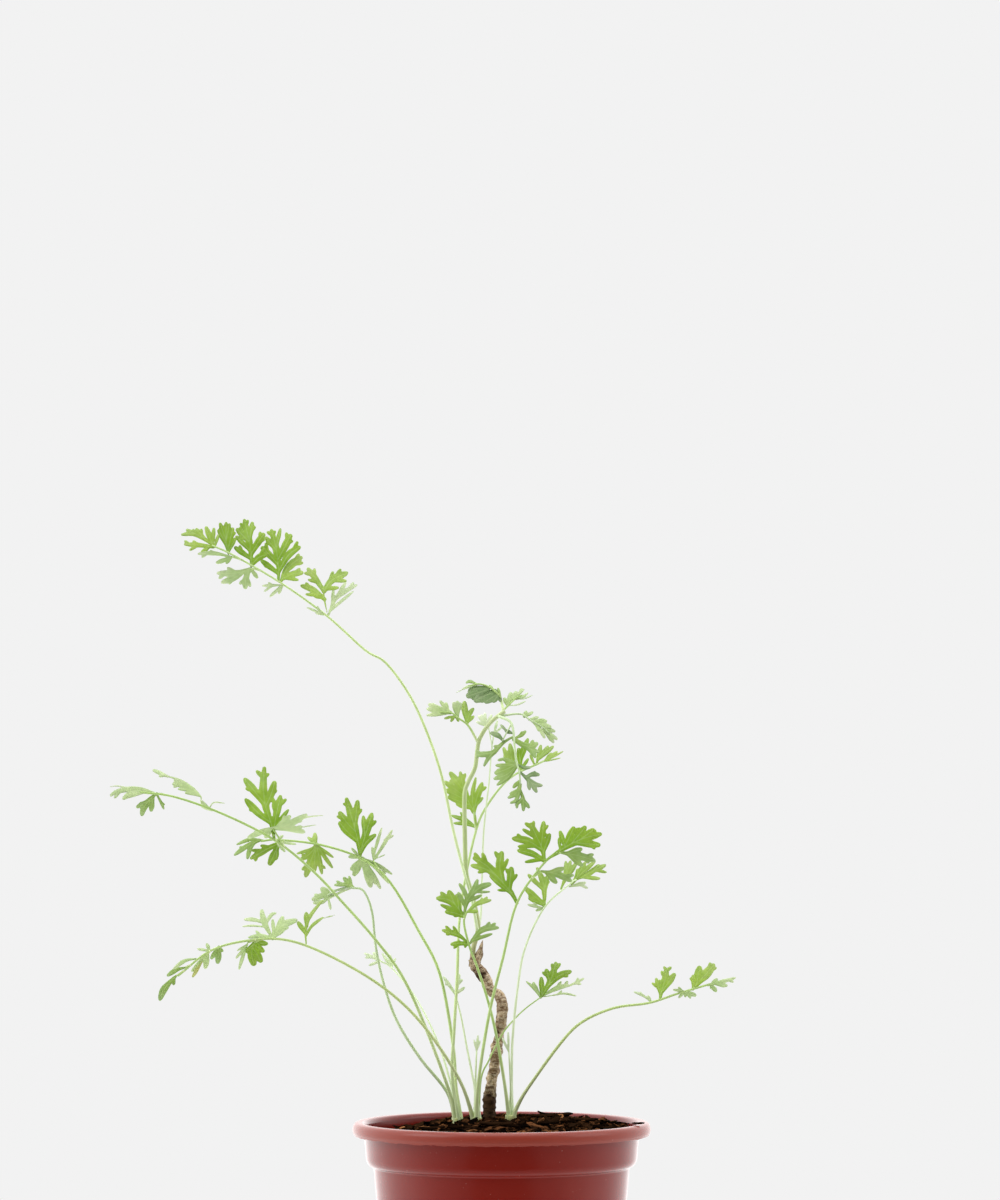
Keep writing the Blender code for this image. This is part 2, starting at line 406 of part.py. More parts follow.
def pot():
    top, lip = POT_H, POT_H - LIP_H
    shoulder = lip - COLLAR_H
    wall_top = shoulder - SHOULDER_H
    rim, collar = RIM_D / 2, collar_radius()
    profile = [
        (0, 0), (wall_in(0) + WALL - 1.4, 0), (wall_in(1.4) + WALL, 1.4), (wall_in(wall_top) + WALL, wall_top),
        (wall_in(wall_top) + WALL + 2.0, wall_top + 0.9), (collar - 1.0, shoulder), (collar, lip),
        (rim - 0.8, lip), (rim, lip + 1.0), (rim, top - 2.0), (rim - 0.8, top - 0.6), (rim - 2.4, top),
        (collar - WALL + 1.4, top - 0.3), (collar - WALL + 0.3, top - 1.6), (collar - WALL, lip),
        (wall_in(shoulder), shoulder), (wall_in(wall_top), wall_top), (wall_in(FLOOR_T), FLOOR_T), (0, FLOOR_T)]
    holes = []
    for k in range(DRAINS):
        a = 2 * math.pi * (k + 0.5) / DRAINS
        x, y = DRAIN_R * math.cos(a), DRAIN_R * math.sin(a)
        holes.append(tube([Vector((x, y, -2)), Vector((x, y, FLOOR_T + 2))], [DRAIN_D] * 2, 12))
    return combine(lathe(profile, SEGMENTS), holes, "DIFFERENCE")


def soil_edge():
    return wall_in(POT_H - LIP_H) - GAP - 0.2


def soil_top(x, y):
    """Height of the mounded soil at a place."""
    out = min(1.0, math.hypot(x - 4, y) / soil_edge())
    return POT_H - SOIL_DROP + MOUND * (1 - out ** 2) + SOIL_LEAN * x / soil_edge()


def soil(pockets):
    floor = FLOOR_T + GAP
    shoulder = POT_H - LIP_H - COLLAR_H
    low = shoulder - SHOULDER_H
    sides = [(0, floor), (wall_in(floor) - GAP - 0.1, floor), (wall_in(low) - GAP - 0.1, low + GAP),
             (soil_edge(), shoulder + 0.4)]
    edge = POT_H - SOIL_DROP
    top = [(soil_edge() * k, edge) for k in (1, 0.78, 0.5, 0.22)] + [(0, edge)]
    bm = lathe(sides + top, SEGMENTS)
    for vertex in bm.verts:
        if vertex.co.z > shoulder + 1:
            vertex.co.z = soil_top(vertex.co.x, vertex.co.y)
    return combine(bm, pockets, "DIFFERENCE")


# ---------------------------------------------------------------- plant
def crown_top(name):
    x, y = CROWNS[name]
    return soil_top(x, y) + 0.4


def crown(name, widen=0.0, above=0.0):
    x, y = CROWNS[name]
    top = crown_top(name) + above
    low = crown_top(name) - CROWN_H
    heights = [low - widen, low + 0.25 * CROWN_H, low + 0.7 * CROWN_H, top]
    widths = [CROWN_D * k + 2 * widen for k in (0.6, 1.0, 1.0, 0.9)]
    return tube([Vector((x, y, h)) for h in heights], widths, 9)


def shoot_route():
    return [grown(*p) for p in SHOOT]


def wood_tube(widen=0.0):
    points = [grown(x, y, z) for x, y, z, _ in WOOD]
    route = smooth_route(points, 1)
    widths = [w + 2 * widen for *_, w in WOOD]
    for i, (point, width) in enumerate(zip(route, WOOD)):
        point.x += 0.25 * math.sin(2.1 * i)
    return tube(route, widths, 8)


def foot_of(spec, width):
    """Where a stalk starts: on its crown's top, or just clear of the shoot's side."""
    if spec[0] == "shoot":
        _, percent, bearing = spec
        route = shoot_route()
        at = route[min(len(route) - 1, round(percent / 120 * (len(route) - 1)))]
        a = math.radians(bearing)
        return at + Vector((math.cos(a), math.sin(a), 0)) * (SHOOT_D / 2 + GAP + width / 2)
    name, bearing = spec
    count = sum(1 for leaf in LEAVES.values() if leaf["on"][0] == name)
    ring = (PETIOLE_D + GAP + 0.1) / (2 * math.sin(math.pi / count))
    x, y = CROWNS[name]
    a = math.radians(bearing)
    return Vector((x + ring * math.cos(a), y + ring * math.sin(a), crown_top(name) + GAP))


def blade(base, tips):
    """A blade's outline in the plant's front plane: a point at each lobe tip and a notch between each two."""
    middle = math.atan2(sum(t[1] for t in tips), sum(t[0] for t in tips))
    lobes = sorted(((math.atan2(z, x) - middle + math.pi) % (2 * math.pi), math.hypot(x, z) * GROWTH)
                   for x, z in tips)
    first, last = lobes[0], lobes[-1]
    edge = math.radians(11)
    outline = [(first[0] - edge, 0.55 * first[1])]
    for one, two in zip(lobes, lobes[1:]):
        outline += [one, ((one[0] + two[0]) / 2, 0.62 * min(one[1], two[1]))]
    outline += [last, (last[0] + edge, 0.55 * last[1])]
    rest = 2 * math.pi - (last[0] - first[0]) - 2 * edge
    outline += [(last[0] + edge + rest * share, BLADE_T) for share in (0.33, 0.67)]
    turn = middle - math.pi
    return [Vector((base.x + r * math.cos(t + turn), base.z + r * math.sin(t + turn))) for t, r in outline]


def nearest(route, x, z):
    """The place on the route nearest to a point of the front plane, and how far off and how far along it is."""
    best = None
    for i, (low, high) in enumerate(zip(route, route[1:])):
        step = Vector((high.x - low.x, high.z - low.z))
        off = Vector((x - low.x, z - low.z))
        share = min(1.0, max(0.0, off.dot(step) / step.length_squared))
        distance = (off - step * share).length
        if best is None or distance < best[1]:
            best = (low.lerp(high, share), distance, (i + share) / (len(route) - 1))
    return best


def inside(point, ring):
    """Whether a point of the front plane lies within a closed outline."""
    odd = False
    for a, b in zip(ring, ring[1:] + ring[:1]):
        if (a.y > point.y) != (b.y > point.y) and point.x < a.x + (point.y - a.y) * (b.x - a.x) / (b.y - a.y):
            odd = not odd
    return odd


def joined_outlines(corners, faces):
    """Triangles that cover the outlines' union, each with the outlines it lies in. No two regions meet at a
    single point: where they would, each is drawn back a little."""
    rings = [[corners[k] for k in face] for face in faces]
    spots, _, cells, *_ = delaunay_2d_cdt(corners, [], faces, 1, 0.04, False)
    spots, kept, seen = [Vector(s) for s in spots], [], set()
    for cell in cells:
        centre = sum((spots[k] for k in cell), Vector((0, 0))) / 3
        owners = {j for j, ring in enumerate(rings) if inside(centre, ring)}
        if owners and frozenset(cell) not in seen:
            seen.add(frozenset(cell))
            kept.append((list(cell), owners))
    for k in range(len(spots)):
        fans = []
        for entry in (e for e in kept if k in e[0]):
            rim = set(entry[0]) - {k}
            linked = [fan for fan in fans if any(rim & set(other[0]) for other in fan)]
            fans = [fan for fan in fans if fan not in linked] + [[entry, *(e for fan in linked for e in fan)]]
        for fan in fans if len(fans) > 1 else []:
            others = [spots[j] for cell, _ in fan for j in cell if j != k]
            spots.append(spots[k].lerp(sum(others, Vector((0, 0))) / len(others), 0.12))
            for cell, _ in fan:
                cell[cell.index(k)] = len(spots) - 1
    return spots, kept


def leaf(spec):
    """A stalk with its blades, grown as one piece: one closed sheet, thickest along the stalk.

    Stalk and blades are joined as outlines in the front plane, and every point is then set to its own depth,
    so the sheet can't cut itself. Returns the shape and where its foot is.
    """
    width = PETIOLE_D * spec.get("thick", 1.0)
    points = [foot_of(spec["on"], width), *(grown(*p) for p in spec["run"])]
    route = smooth_route(points, 1 if len(points) > 6 else 2)

    def half(along):
        return width / 2 * (1 - (1 - STALK_TIP) * along)

    corners, faces, planes = [], [], []

    def outline(ring, plane):
        if sum(a.x * b.y - b.x * a.y for a, b in zip(ring, ring[1:] + ring[:1])) < 0:
            ring = ring[::-1]
        faces.append(list(range(len(corners), len(corners) + len(ring))))
        planes.append(plane)
        corners.extend(ring)

    strips = []
    for i, point in enumerate(route):
        ahead = route[min(i + 1, len(route) - 1)] - route[max(i - 1, 0)]
        aside = Vector((-ahead.z, ahead.x)).normalized() * half(i / (len(route) - 1))
        flat = Vector((point.x, point.z))
        strips.append((flat + aside, flat, flat - aside))
    for low, high in zip(strips, strips[1:]):
        outline([low[0], low[1], high[1], high[0]], None)
        outline([low[1], low[2], high[2], high[1]], None)
    for x, z, lean_x, lean_z, tips in spec["blades"]:
        wanted = grown(x, 0, z)
        near, away, along = nearest(route, wanted.x, wanted.z)
        wanted = grown(x, near.y / GROWTH, z)
        base = near
        if away > 2.0:
            base = wanted
            link = Vector((wanted.x - near.x, wanted.z - near.z))
            aside = Vector((-link.y, link.x)).normalized() * half(along) * 0.8
            ends = [Vector((near.x, near.z)), Vector((wanted.x, wanted.z)) + link.normalized() * 0.5]
            outline([ends[0] + aside, ends[0] - aside, ends[1] - aside, ends[1] + aside],
                    (Vector((near.x, near.y, near.z)), 0, 0))
        outline(blade(base, tips), (base, lean_x, lean_z))

    spots, kept = joined_outlines(corners, faces)
    around = {}
    for cell, source in kept:
        for k in cell:
            around.setdefault(k, set()).update(source)
    bm = bmesh.new()
    front, back = {}, {}
    for k, owners in around.items():
        x, z = spots[k]
        near, away, along = nearest(route, x, z)
        thick, depth = BLADE_T / 2, near.y
        if away < half(along) + 0.05:
            thick += max(0.0, half(along) - thick) * (1 - min(1.0, away / half(along)))
        else:
            leans = [planes[j] for j in owners if planes[j]]
            depth = sum(o.y + a * (x - o.x) + b * (z - o.z) for o, a, b in leans) / len(leans)
        front[k] = bm.verts.new((x, depth - thick, z))
        back[k] = bm.verts.new((x, depth + thick, z))
    sides = {}
    for cell, _ in kept:
        bm.faces.new([front[k] for k in cell])
        bm.faces.new([back[k] for k in reversed(cell)])
        for a, b in zip(cell, [*cell[1:], cell[0]]):
            sides[(a, b)] = True
    for a, b in sides:
        if (b, a) not in sides:
            bm.faces.new((front[b], front[a], back[a], back[b]))
    bmesh.ops.triangulate(bm, faces=bm.faces)
    return bm, points[0]


# ---------------------------------------------------------------- bark chips
def chip(length, width, thickness):
    """A split flake of bark, lying along X with its underside at height 0."""
    outline = [(-0.5, -0.1), (-0.34, -0.42), (0.1, -0.5), (0.42, -0.3), (0.5, 0.05), (0.3, 0.46), (-0.2, 0.5),
               (-0.44, 0.3)]
    bm = bmesh.new()
    low = [bm.verts.new((x * length * 0.94, y * width * 0.86, 0)) for x, y in outline]
    mid = [bm.verts.new((x * length, y * width, thickness * 0.55)) for x, y in outline]
    high = [bm.verts.new((x * length * 0.86, y * width * 0.7, thickness)) for x, y in outline]
    bm.faces.new(low)
    bm.faces.new(high)
    for a, b in ((low, mid), (mid, high)):
        for k in range(len(outline)):
            n = (k + 1) % len(outline)
            bm.faces.new((a[k], a[n], b[n], b[k]))
    return bm


def soil_normal(x, y):
    return Vector((soil_top(x - 1, y) - soil_top(x + 1, y), soil_top(x, y - 1) - soil_top(x, y + 1), 2)).normalized()


def chip_on_soil(x, y, bearing, length, width, thickness):
    x, y = (step * soil_edge() / SOIL_DRAWN for step in (x, y))
    bm = chip(length, width, thickness)
    up = soil_normal(x, y)
    turn = Vector((0, 0, 1)).rotation_difference(up).to_matrix().to_4x4()
    spot = Vector((x, y, soil_top(x, y))) + up * (GAP + 0.1)
    bm.transform(Matrix.Translation(spot) @ turn @ Matrix.Rotation(math.radians(bearing), 4, "Z"))
    return bm, spot


def main():
    clear_scene()
    origin = Vector((0, 0, 0))
    pot_object = place("pot", pot(), POT_RED, origin)

    fibre = [(-18.6, -4), (-18.1, -10), (-18.9, -17), (-18.2, -24)]
    fibre_route = [Vector((x, y, soil_top(x, y) + GAP + FIBRE_D / 2 + 0.1)) for x, y in fibre]
    pockets = [crown(name, widen=GAP, above=3.0) for name in CROWNS] + [wood_tube(widen=GAP)]
    soil_object = place("soil", soil(pockets), SOIL_BROWN, (0, 0, FLOOR_T + GAP), pot_object, smooth=False)

    bases = {}
    for name, (x, y) in CROWNS.items():
        bases[name] = place(f"crown_{name}", crown(name), CROWN_PALE, (x, y, crown_top(name) - CROWN_H), soil_object)
    wood = place("woody_stem", wood_tube(), WOOD_TAN, grown(*WOOD[0][:3]), soil_object)
    route = shoot_route()
    shoot = tube(route, [SHOOT_D * (1 - 0.25 * i / (len(route) - 1)) for i in range(len(route))], 6)
    bases["shoot"] = place("green_shoot", shoot, STEM_GREEN, route[0], wood)

    for name, spec in LEAVES.items():
        shape, foot = leaf(spec)
        finish = LEAF_SILVER if name in SILVERY else LEAF_PALE if name in PALE else LEAF_GREEN
        place(name, shape, finish, foot, bases[spec["on"][0]], smooth=False)

    for name, (x, y, *rest) in CHIPS.items():
        shape, spot = chip_on_soil(x, y, *rest)
        place(name, shape, BARK_TAN if name in ("chip_front", "chip_right") else BARK_DARK, spot, soil_object, False)
    bearing, length, width, thickness = RIM_CHIP
    shape = chip(length, width, thickness)
    a = math.radians(bearing)
    crest = RIM_D / 2 - 2.4
    spot = Vector((crest * math.cos(a), crest * math.sin(a), POT_H + GAP))
    shape.transform(Matrix.Translation(spot) @ Matrix.Rotation(a, 4, "Z"))
    place("chip_on_rim", shape, BARK_DARK, spot, pot_object, False)
    place("root_fibre", tube(smooth_route(fibre_route, 2), [FIBRE_D] * 7, 5), BARK_TAN, fibre_route[0], soil_object)


main()
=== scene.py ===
"""Looks of the potted wormwood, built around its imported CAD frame.

Lengths in the tables are millimetres in the plant's own ruler: x to the right, y away from the front, z up, with
the pot's rim at 112. Every mesh is made in metres in the frame's own space.
"""

from __future__ import annotations

import json
import logging
import math
from collections.abc import Callable, Iterable, Sequence
from dataclasses import dataclass, field
from enum import Enum

import bmesh
import bpy
import numpy as np
from mathutils import Matrix, Vector, noise

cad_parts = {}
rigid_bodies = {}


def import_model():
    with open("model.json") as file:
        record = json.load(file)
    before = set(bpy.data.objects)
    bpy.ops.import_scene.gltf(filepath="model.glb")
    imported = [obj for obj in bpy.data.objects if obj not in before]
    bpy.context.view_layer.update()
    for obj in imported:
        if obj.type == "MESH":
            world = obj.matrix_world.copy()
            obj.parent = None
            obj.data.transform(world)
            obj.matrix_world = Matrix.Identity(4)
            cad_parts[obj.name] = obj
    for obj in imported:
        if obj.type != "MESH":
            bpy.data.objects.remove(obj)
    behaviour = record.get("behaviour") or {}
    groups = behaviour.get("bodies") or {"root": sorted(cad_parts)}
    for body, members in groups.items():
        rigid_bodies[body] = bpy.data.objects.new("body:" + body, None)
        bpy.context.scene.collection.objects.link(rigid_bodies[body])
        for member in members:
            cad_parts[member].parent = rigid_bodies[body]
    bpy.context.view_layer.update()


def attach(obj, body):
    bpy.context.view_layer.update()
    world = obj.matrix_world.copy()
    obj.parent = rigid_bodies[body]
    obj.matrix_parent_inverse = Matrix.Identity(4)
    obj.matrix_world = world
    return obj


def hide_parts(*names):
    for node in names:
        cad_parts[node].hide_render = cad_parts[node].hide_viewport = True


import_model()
LOG = logging.getLogger("wormwood")

MM = 0.001
STANCE = 3000.0
EYE = 339.4
BODY = "root"
Point2 = tuple[float, float]
Point3 = tuple[float, float, float]
Colour = tuple[float, float, float]
Faces = list[list[int]]
Mesh = bpy.types.Mesh
Item = bpy.types.Object
Material = bpy.types.Material
Node = bpy.types.Node
Socket = bpy.types.NodeSocket


# ---------------------------------------------------------------- shared shapes
def plant_point(x: float, y: float, z: float) -> Vector:
    """A point of the tables in millimetres, drawn in or out with depth so that the front outline holds.

    Args:
        x: Step to the right of the pot's axis.
        y: Step away from the front.
        z: Height above the pot's underside.

    Returns:
        The point in the frame's space, still in millimetres.
    """
    depth = (STANCE + y) / STANCE
    return Vector((x * depth, y, EYE + (z - EYE) * depth))


def smooth_route(points: Sequence[Vector], per_span: int) -> list[Vector]:
    """Runs a Catmull-Rom curve through points.

    Args:
        points: The points to pass.
        per_span: Pieces between each two points.

    Returns:
        The curve's points, ends included.
    """
    ends = [2 * points[0] - points[1], *points, 2 * points[-1] - points[-2]]
    route = []
    for a, b, c, d in zip(ends, ends[1:], ends[2:], ends[3:]):
        for i in range(per_span):
            t = i / per_span
            route.append(0.5 * (2 * b + (c - a) * t + (2 * a - 5 * b + 4 * c - d) * t**2
                                + (3 * b - a - 3 * c + d) * t**3))
    return [*route, points[-1].copy()]


def wobble(seed: float, place: float) -> float:
    """A smooth repeatable value between about -1 and 1."""
    return noise.noise(Vector((seed * 7.31, place, 0.37 * seed)))


def new_object(name: str, mesh: Mesh) -> Item:
    """Links a mesh to the scene as an object at the origin."""
    made = bpy.data.objects.new(name, mesh)
    bpy.context.scene.collection.objects.link(made)
    return made


def mesh_of(name: str, points: np.ndarray, faces: Iterable[Sequence[int]], smooth: bool = True) -> Mesh:
    """Makes a mesh from millimetre points.

    Args:
        name: The mesh's name.
        points: An array of points, one row each.
        faces: Corner indices of every face.
        smooth: Whether its faces are shaded smooth.

    Returns:
        The mesh, in metres.
    """
    mesh = bpy.data.meshes.new(name)
    mesh.from_pydata((np.asarray(points) * MM).tolist(), [], [list(f) for f in faces])
    mesh.polygons.foreach_set("use_smooth", [smooth] * len(mesh.polygons))
    mesh.update()
    return mesh


def set_values(mesh: Mesh, name: str, values: Sequence[float]) -> None:
    """Stores one number per point on a mesh."""
    made = mesh.attributes.new(name, "FLOAT", "POINT")
    made.data.foreach_set("value", np.asarray(values, dtype=np.float32))


def set_colours(mesh: Mesh, name: str, colours: np.ndarray) -> None:
    """Stores one linear colour per point on a mesh."""
    made = mesh.attributes.new(name, "FLOAT_COLOR", "POINT")
    rows = np.ones((len(colours), 4), dtype=np.float32)
    rows[:, :3] = colours
    made.data.foreach_set("color", rows.ravel())


def tube_faces(rings: int, sides: int) -> Faces:
    """Faces of a closed tube, given its rings of points one after another."""
    faces = []
    for a in range(0, (rings - 1) * sides, sides):
        faces += [[a + k, a + (k + 1) % sides, a + sides + (k + 1) % sides, a + sides + k] for k in range(sides)]
    return [*faces, list(reversed(range(sides))), [(rings - 1) * sides + k for k in range(sides)]]


def shell_faces(rows: int, cols: int, base: int = 0) -> Faces:
    """Faces of a closed flat shell: a grid of points, a second grid behind it and the rim between them.

    Args:
        rows: Rows of each grid.
        cols: Points in each row.
        base: Index of the first point.

    Returns:
        The faces.
    """
    size, faces = rows * cols, []
    for i in range(rows - 1):
        for j in range(cols - 1):
            a = base + i * cols + j
            faces.append([a, a + 1, a + cols + 1, a + cols])
            faces.append([size + a, size + a + cols, size + a + cols + 1, size + a + 1])
    rim = [i * cols for i in range(rows)] + [(rows - 1) * cols + j for j in range(1, cols)]
    rim += [i * cols + cols - 1 for i in range(rows - 2, -1, -1)] + list(range(cols - 2, 0, -1))
    return faces + [[base + b, base + a, base + a + size, base + b + size] for a, b in zip(rim, rim[1:] + rim[:1])]


def lathe(profile: Sequence[Point2], segments: int,
          shape: Callable[[float, int], Point2] | None = None) -> bmesh.types.BMesh:
    """Turns a profile about the vertical axis into a closed solid.

    Args:
        profile: Radius and height of each ring, beginning and ending on the axis.
        segments: Facets round the axis.
        shape: Optional change of radius and height for a bearing and a profile index.

    Returns:
        The solid in millimetres.
    """
    bm = bmesh.new()
    rings = []
    for index, (radius, height) in enumerate(profile):
        if radius == 0:
            rings.append([bm.verts.new((0, 0, height))])
            continue
        ring = []
        for k in range(segments):
            a = 2 * math.pi * k / segments
            out, up = shape(a, index) if shape else (0.0, 0.0)
            ring.append(bm.verts.new(((radius + out) * math.cos(a), (radius + out) * math.sin(a), height + up)))
        rings.append(ring)
    for low, high in zip(rings, rings[1:]):
        for k in range(segments):
            n = (k + 1) % segments
            corners = [low[k % len(low)], low[n % len(low)], high[n % len(high)], high[k % len(high)]]
            bm.faces.new(list(dict.fromkeys(corners)))
    bmesh.ops.recalc_face_normals(bm, faces=bm.faces)
    return bm


def dress(made: Item, finishes: Sequence[Material], nodes: Sequence[str]) -> None:
    """Gives a finished piece its finishes, its body and the CAD nodes that it stands for.

    Args:
        made: The finished piece.
        finishes: Its materials, or none where its mesh already holds them.
        nodes: The CAD nodes that it replaces.
    """
    for finish in finishes:
        made.data.materials.append(finish)
    if nodes:
        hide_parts(*nodes)
    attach(made, BODY)
    LOG.info("%s: %d faces, stands for %s", made.name, len(made.data.polygons), ", ".join(nodes) or "no node")


# ---------------------------------------------------------------- node trees
class Tree:
    """A short way to add and join the nodes of one tree."""

    def __init__(self, tree: bpy.types.NodeTree) -> None:
        """Keeps the tree that the other methods add to."""
        self.tree = tree

    def add(self, kind: str, **settings: object) -> Node:
        """Adds a node; keywords that name an input set its value or link it, the rest are the node's own settings.

        Args:
            kind: The node's type.
            **settings: Values, sockets to link, or settings, with underscores for spaces.

        Returns:
            The new node.
        """
        made = self.tree.nodes.new(kind)
        later = {}
        for key, value in settings.items():
            if hasattr(made, key) and key not in ("inputs",):
                setattr(made, key, value)
            else:
                later[key.replace("_", " ")] = value
        for key, value in later.items():
            self.put(made, int(key[2:]) if key.startswith("in") and key[2:].isdigit() else key, value)
        return made

    def put(self, made: Node, key: int | str, value: object) -> None:
        """Sets or links one input of a node."""
        socket = made.inputs[key]
        if isinstance(value, Socket):
            self.tree.links.new(value, socket)
        elif isinstance(value, Node):
            self.tree.links.new(value.outputs[0], socket)
        else:
            socket.default_value = value

    def give(self, made: Node, **values: object) -> None:
        """Sets or links several inputs of a node, with underscores for spaces."""
        for key, value in values.items():
            self.put(made, key.replace("_", " "), value)

    def ramp(self, factor: Socket, stops: Sequence[tuple[float, Colour]]) -> Socket:
        """Adds a colour ramp.

        Args:
            factor: What it reads.
            stops: Position and colour of each stop.

        Returns:
            The colour socket.
        """
        made = self.add("ShaderNodeValToRGB", Fac=factor)
        points = made.color_ramp.elements
        while len(points) < len(stops):
            points.new(0.5)
        for point, (place, colour) in zip(points, stops):
            point.position = place
            point.color = (*colour, 1)
        return made.outputs[0]

    def mask(self, factor: Socket, low: float, high: float, most: float = 1.0) -> Socket:
        """Turns a value into black below one threshold and bright above another."""
        return self.ramp(factor, [(low, (0, 0, 0)), (high, (most,) * 3)])

    def maths(self, operation: str, *values: object) -> Socket:
        """Adds a Math node on numbers or sockets and returns its result."""
        made = self.add("ShaderNodeMath", operation=operation)
        for k, value in enumerate(values):
            self.put(made, k, value)
        return made.outputs[0]

    def times(self, one: object, two: object) -> Socket:
        """Multiplies two values."""
        return self.maths("MULTIPLY", one, two)

    def plus(self, one: object, two: object) -> Socket:
        """Adds two values."""
        return self.maths("ADD", one, two)

    def noise(self, where: Socket, scale: float, detail: float, **settings: float) -> Socket:
        """Adds a noise texture and returns its value."""
        made = self.add("ShaderNodeTexNoise", Vector=where, Scale=scale, Detail=detail, **settings)
        return made.outputs[0]

    def seen(self, name: str, output: str = "Fac") -> Socket:
        """Reads one of the mesh's own attributes."""
        return self.add("ShaderNodeAttribute", attribute_name=name).outputs[output]

    def place(self) -> Socket:
        """Returns the place on the object."""
        return self.add("ShaderNodeTexCoord").outputs["Object"]

    def bump(self, shader: Node, height: object, strength: float, distance: float) -> None:
        """Gives a shader fine relief."""
        self.put(shader, "Normal", self.add("ShaderNodeBump", Height=height, Strength=strength, Distance=distance))

    def mix(self, factor: object, one: object, two: object, blend: str = "MIX") -> Socket:
        """Mixes two colours and returns the result."""
        made = self.tree.nodes.new("ShaderNodeMix")
        made.data_type, made.blend_type = "RGBA", blend
        self.put(made, 0, factor)
        self.put(made, 6, one if not isinstance(one, tuple) else (*one, 1))
        self.put(made, 7, two if not isinstance(two, tuple) else (*two, 1))
        return made.outputs[2]


def new_finish(name: str) -> tuple[Material, Tree, Node]:
    """Starts a material: the material, its tree and its surface shader."""
    made = bpy.data.materials.new(name)
    made.use_nodes = True
    return made, Tree(made.node_tree), made.node_tree.nodes["Principled BSDF"]


@dataclass(frozen=True)
class PotPlastic:
    """Moulded red-brown polypropylene with faint flow marks, dust, scuffs and a painted sheen on the rolled lip."""

    colour: Colour = (0.155, 0.008, 0.0035)
    dusty: Colour = (0.26, 0.05, 0.03)
    roughness: float = 0.18

    def build(self) -> Material:
        """Returns the material."""
        made, tree, shader = new_finish("pot_plastic")
        where = tree.place()
        broad = tree.noise(where, 28.0, 3.0)
        ringed = tree.add("ShaderNodeMapping", Vector=where, Scale=(1.0, 1.0, 18.0)).outputs[0]
        flow = tree.noise(ringed, 22.0, 5.0, Roughness=0.6)
        specks = tree.noise(where, 900.0, 2.0)
        lip = tree.seen("lip")
        inner = tree.seen("inner")
        haze = tree.times(tree.mask(broad, 0.42, 0.72), 0.10)
        colour = tree.mix(haze, self.colour, self.dusty)
        # Painted sheen: the rolled lip's colour is lifted towards a light pink, standing for the bright surroundings
        # that it reflects.
        colour = tree.mix(tree.times(lip, 0.30), colour, (0.34, 0.085, 0.055))
        colour = tree.mix(tree.times(inner, 0.12), colour, (0.20, 0.05, 0.035))
        dots = tree.mask(specks, 0.74, 0.79)
        colour = tree.mix(tree.times(dots, 0.35), colour, (0.55, 0.40, 0.34))
        scuffs = tree.add("ShaderNodeMapping", Vector=where, Rotation=(0.5, 0.9, 0.3),
                          Scale=(60.0, 620.0, 260.0)).outputs[0]
        lines = tree.noise(scuffs, 3.0, 2.0)
        patch = tree.mask(broad, 0.60, 0.66)
        marks = tree.times(tree.mask(lines, 0.69, 0.73), patch)
        colour = tree.mix(tree.times(marks, 0.5), colour, (0.62, 0.38, 0.32))
        tree.put(shader, "Base Color", colour)
        rough = tree.plus(tree.times(flow, 0.10), tree.times(lip, 0.07))
        tree.put(shader, "Roughness", tree.plus(rough, self.roughness - 0.05))
        tree.bump(shader, tree.plus(flow, tree.times(marks, 0.6)), 0.25, 0.00012)
        tree.give(shader, IOR=1.5, Specular_IOR_Level=0.27)
        return made


@dataclass(frozen=True)
class Compost:
    """Dark damp peat with pale mineral grains."""

    dark: Colour = (0.003, 0.0015, 0.001)
    warm: Colour = (0.018, 0.008, 0.004)

    def build(self) -> Material:
        """Returns the material."""
        made, tree, shader = new_finish("compost")
        where = tree.place()
        grain = tree.noise(where, 420.0, 6.0, Roughness=0.7)
        clump = tree.add("ShaderNodeTexVoronoi", Vector=where, Scale=260.0).outputs[0]
        colour = tree.ramp(grain, [(0.35, self.dark), (0.60, self.warm), (0.78, (0.09, 0.038, 0.014))])
        tree.give(shader, Base_Color=colour, Roughness=0.92, Specular_IOR_Level=0.0)
        rough = tree.plus(grain, tree.times(clump, 0.7))
        tree.bump(shader, rough, 0.9, 0.0012)
        return made


@dataclass(frozen=True)
class BarkFlake:
    """Composted bark: near black to orange brown, each flake its own tone, with fibres along it."""

    name: str
    dark: Colour
    light: Colour

    def build(self) -> Material:
        """Returns the material."""
        made, tree, shader = new_finish(self.name)
        where = tree.place()
        tone = tree.seen("tone")
        fibre = tree.noise(where, 700.0, 4.0, Distortion=1.5)
        depth = tree.plus(tree.times(tone, 0.8), tree.times(fibre, 0.35))
        tree.put(shader, "Base Color", tree.ramp(depth, [(0.30, self.dark), (0.74, (0.020, 0.009, 0.004)),
                                                         (0.95, self.light)]))
        tree.give(shader, Roughness=0.8, Specular_IOR_Level=0.0)
        tree.bump(shader, fibre, 0.6, 0.0004)
        return made


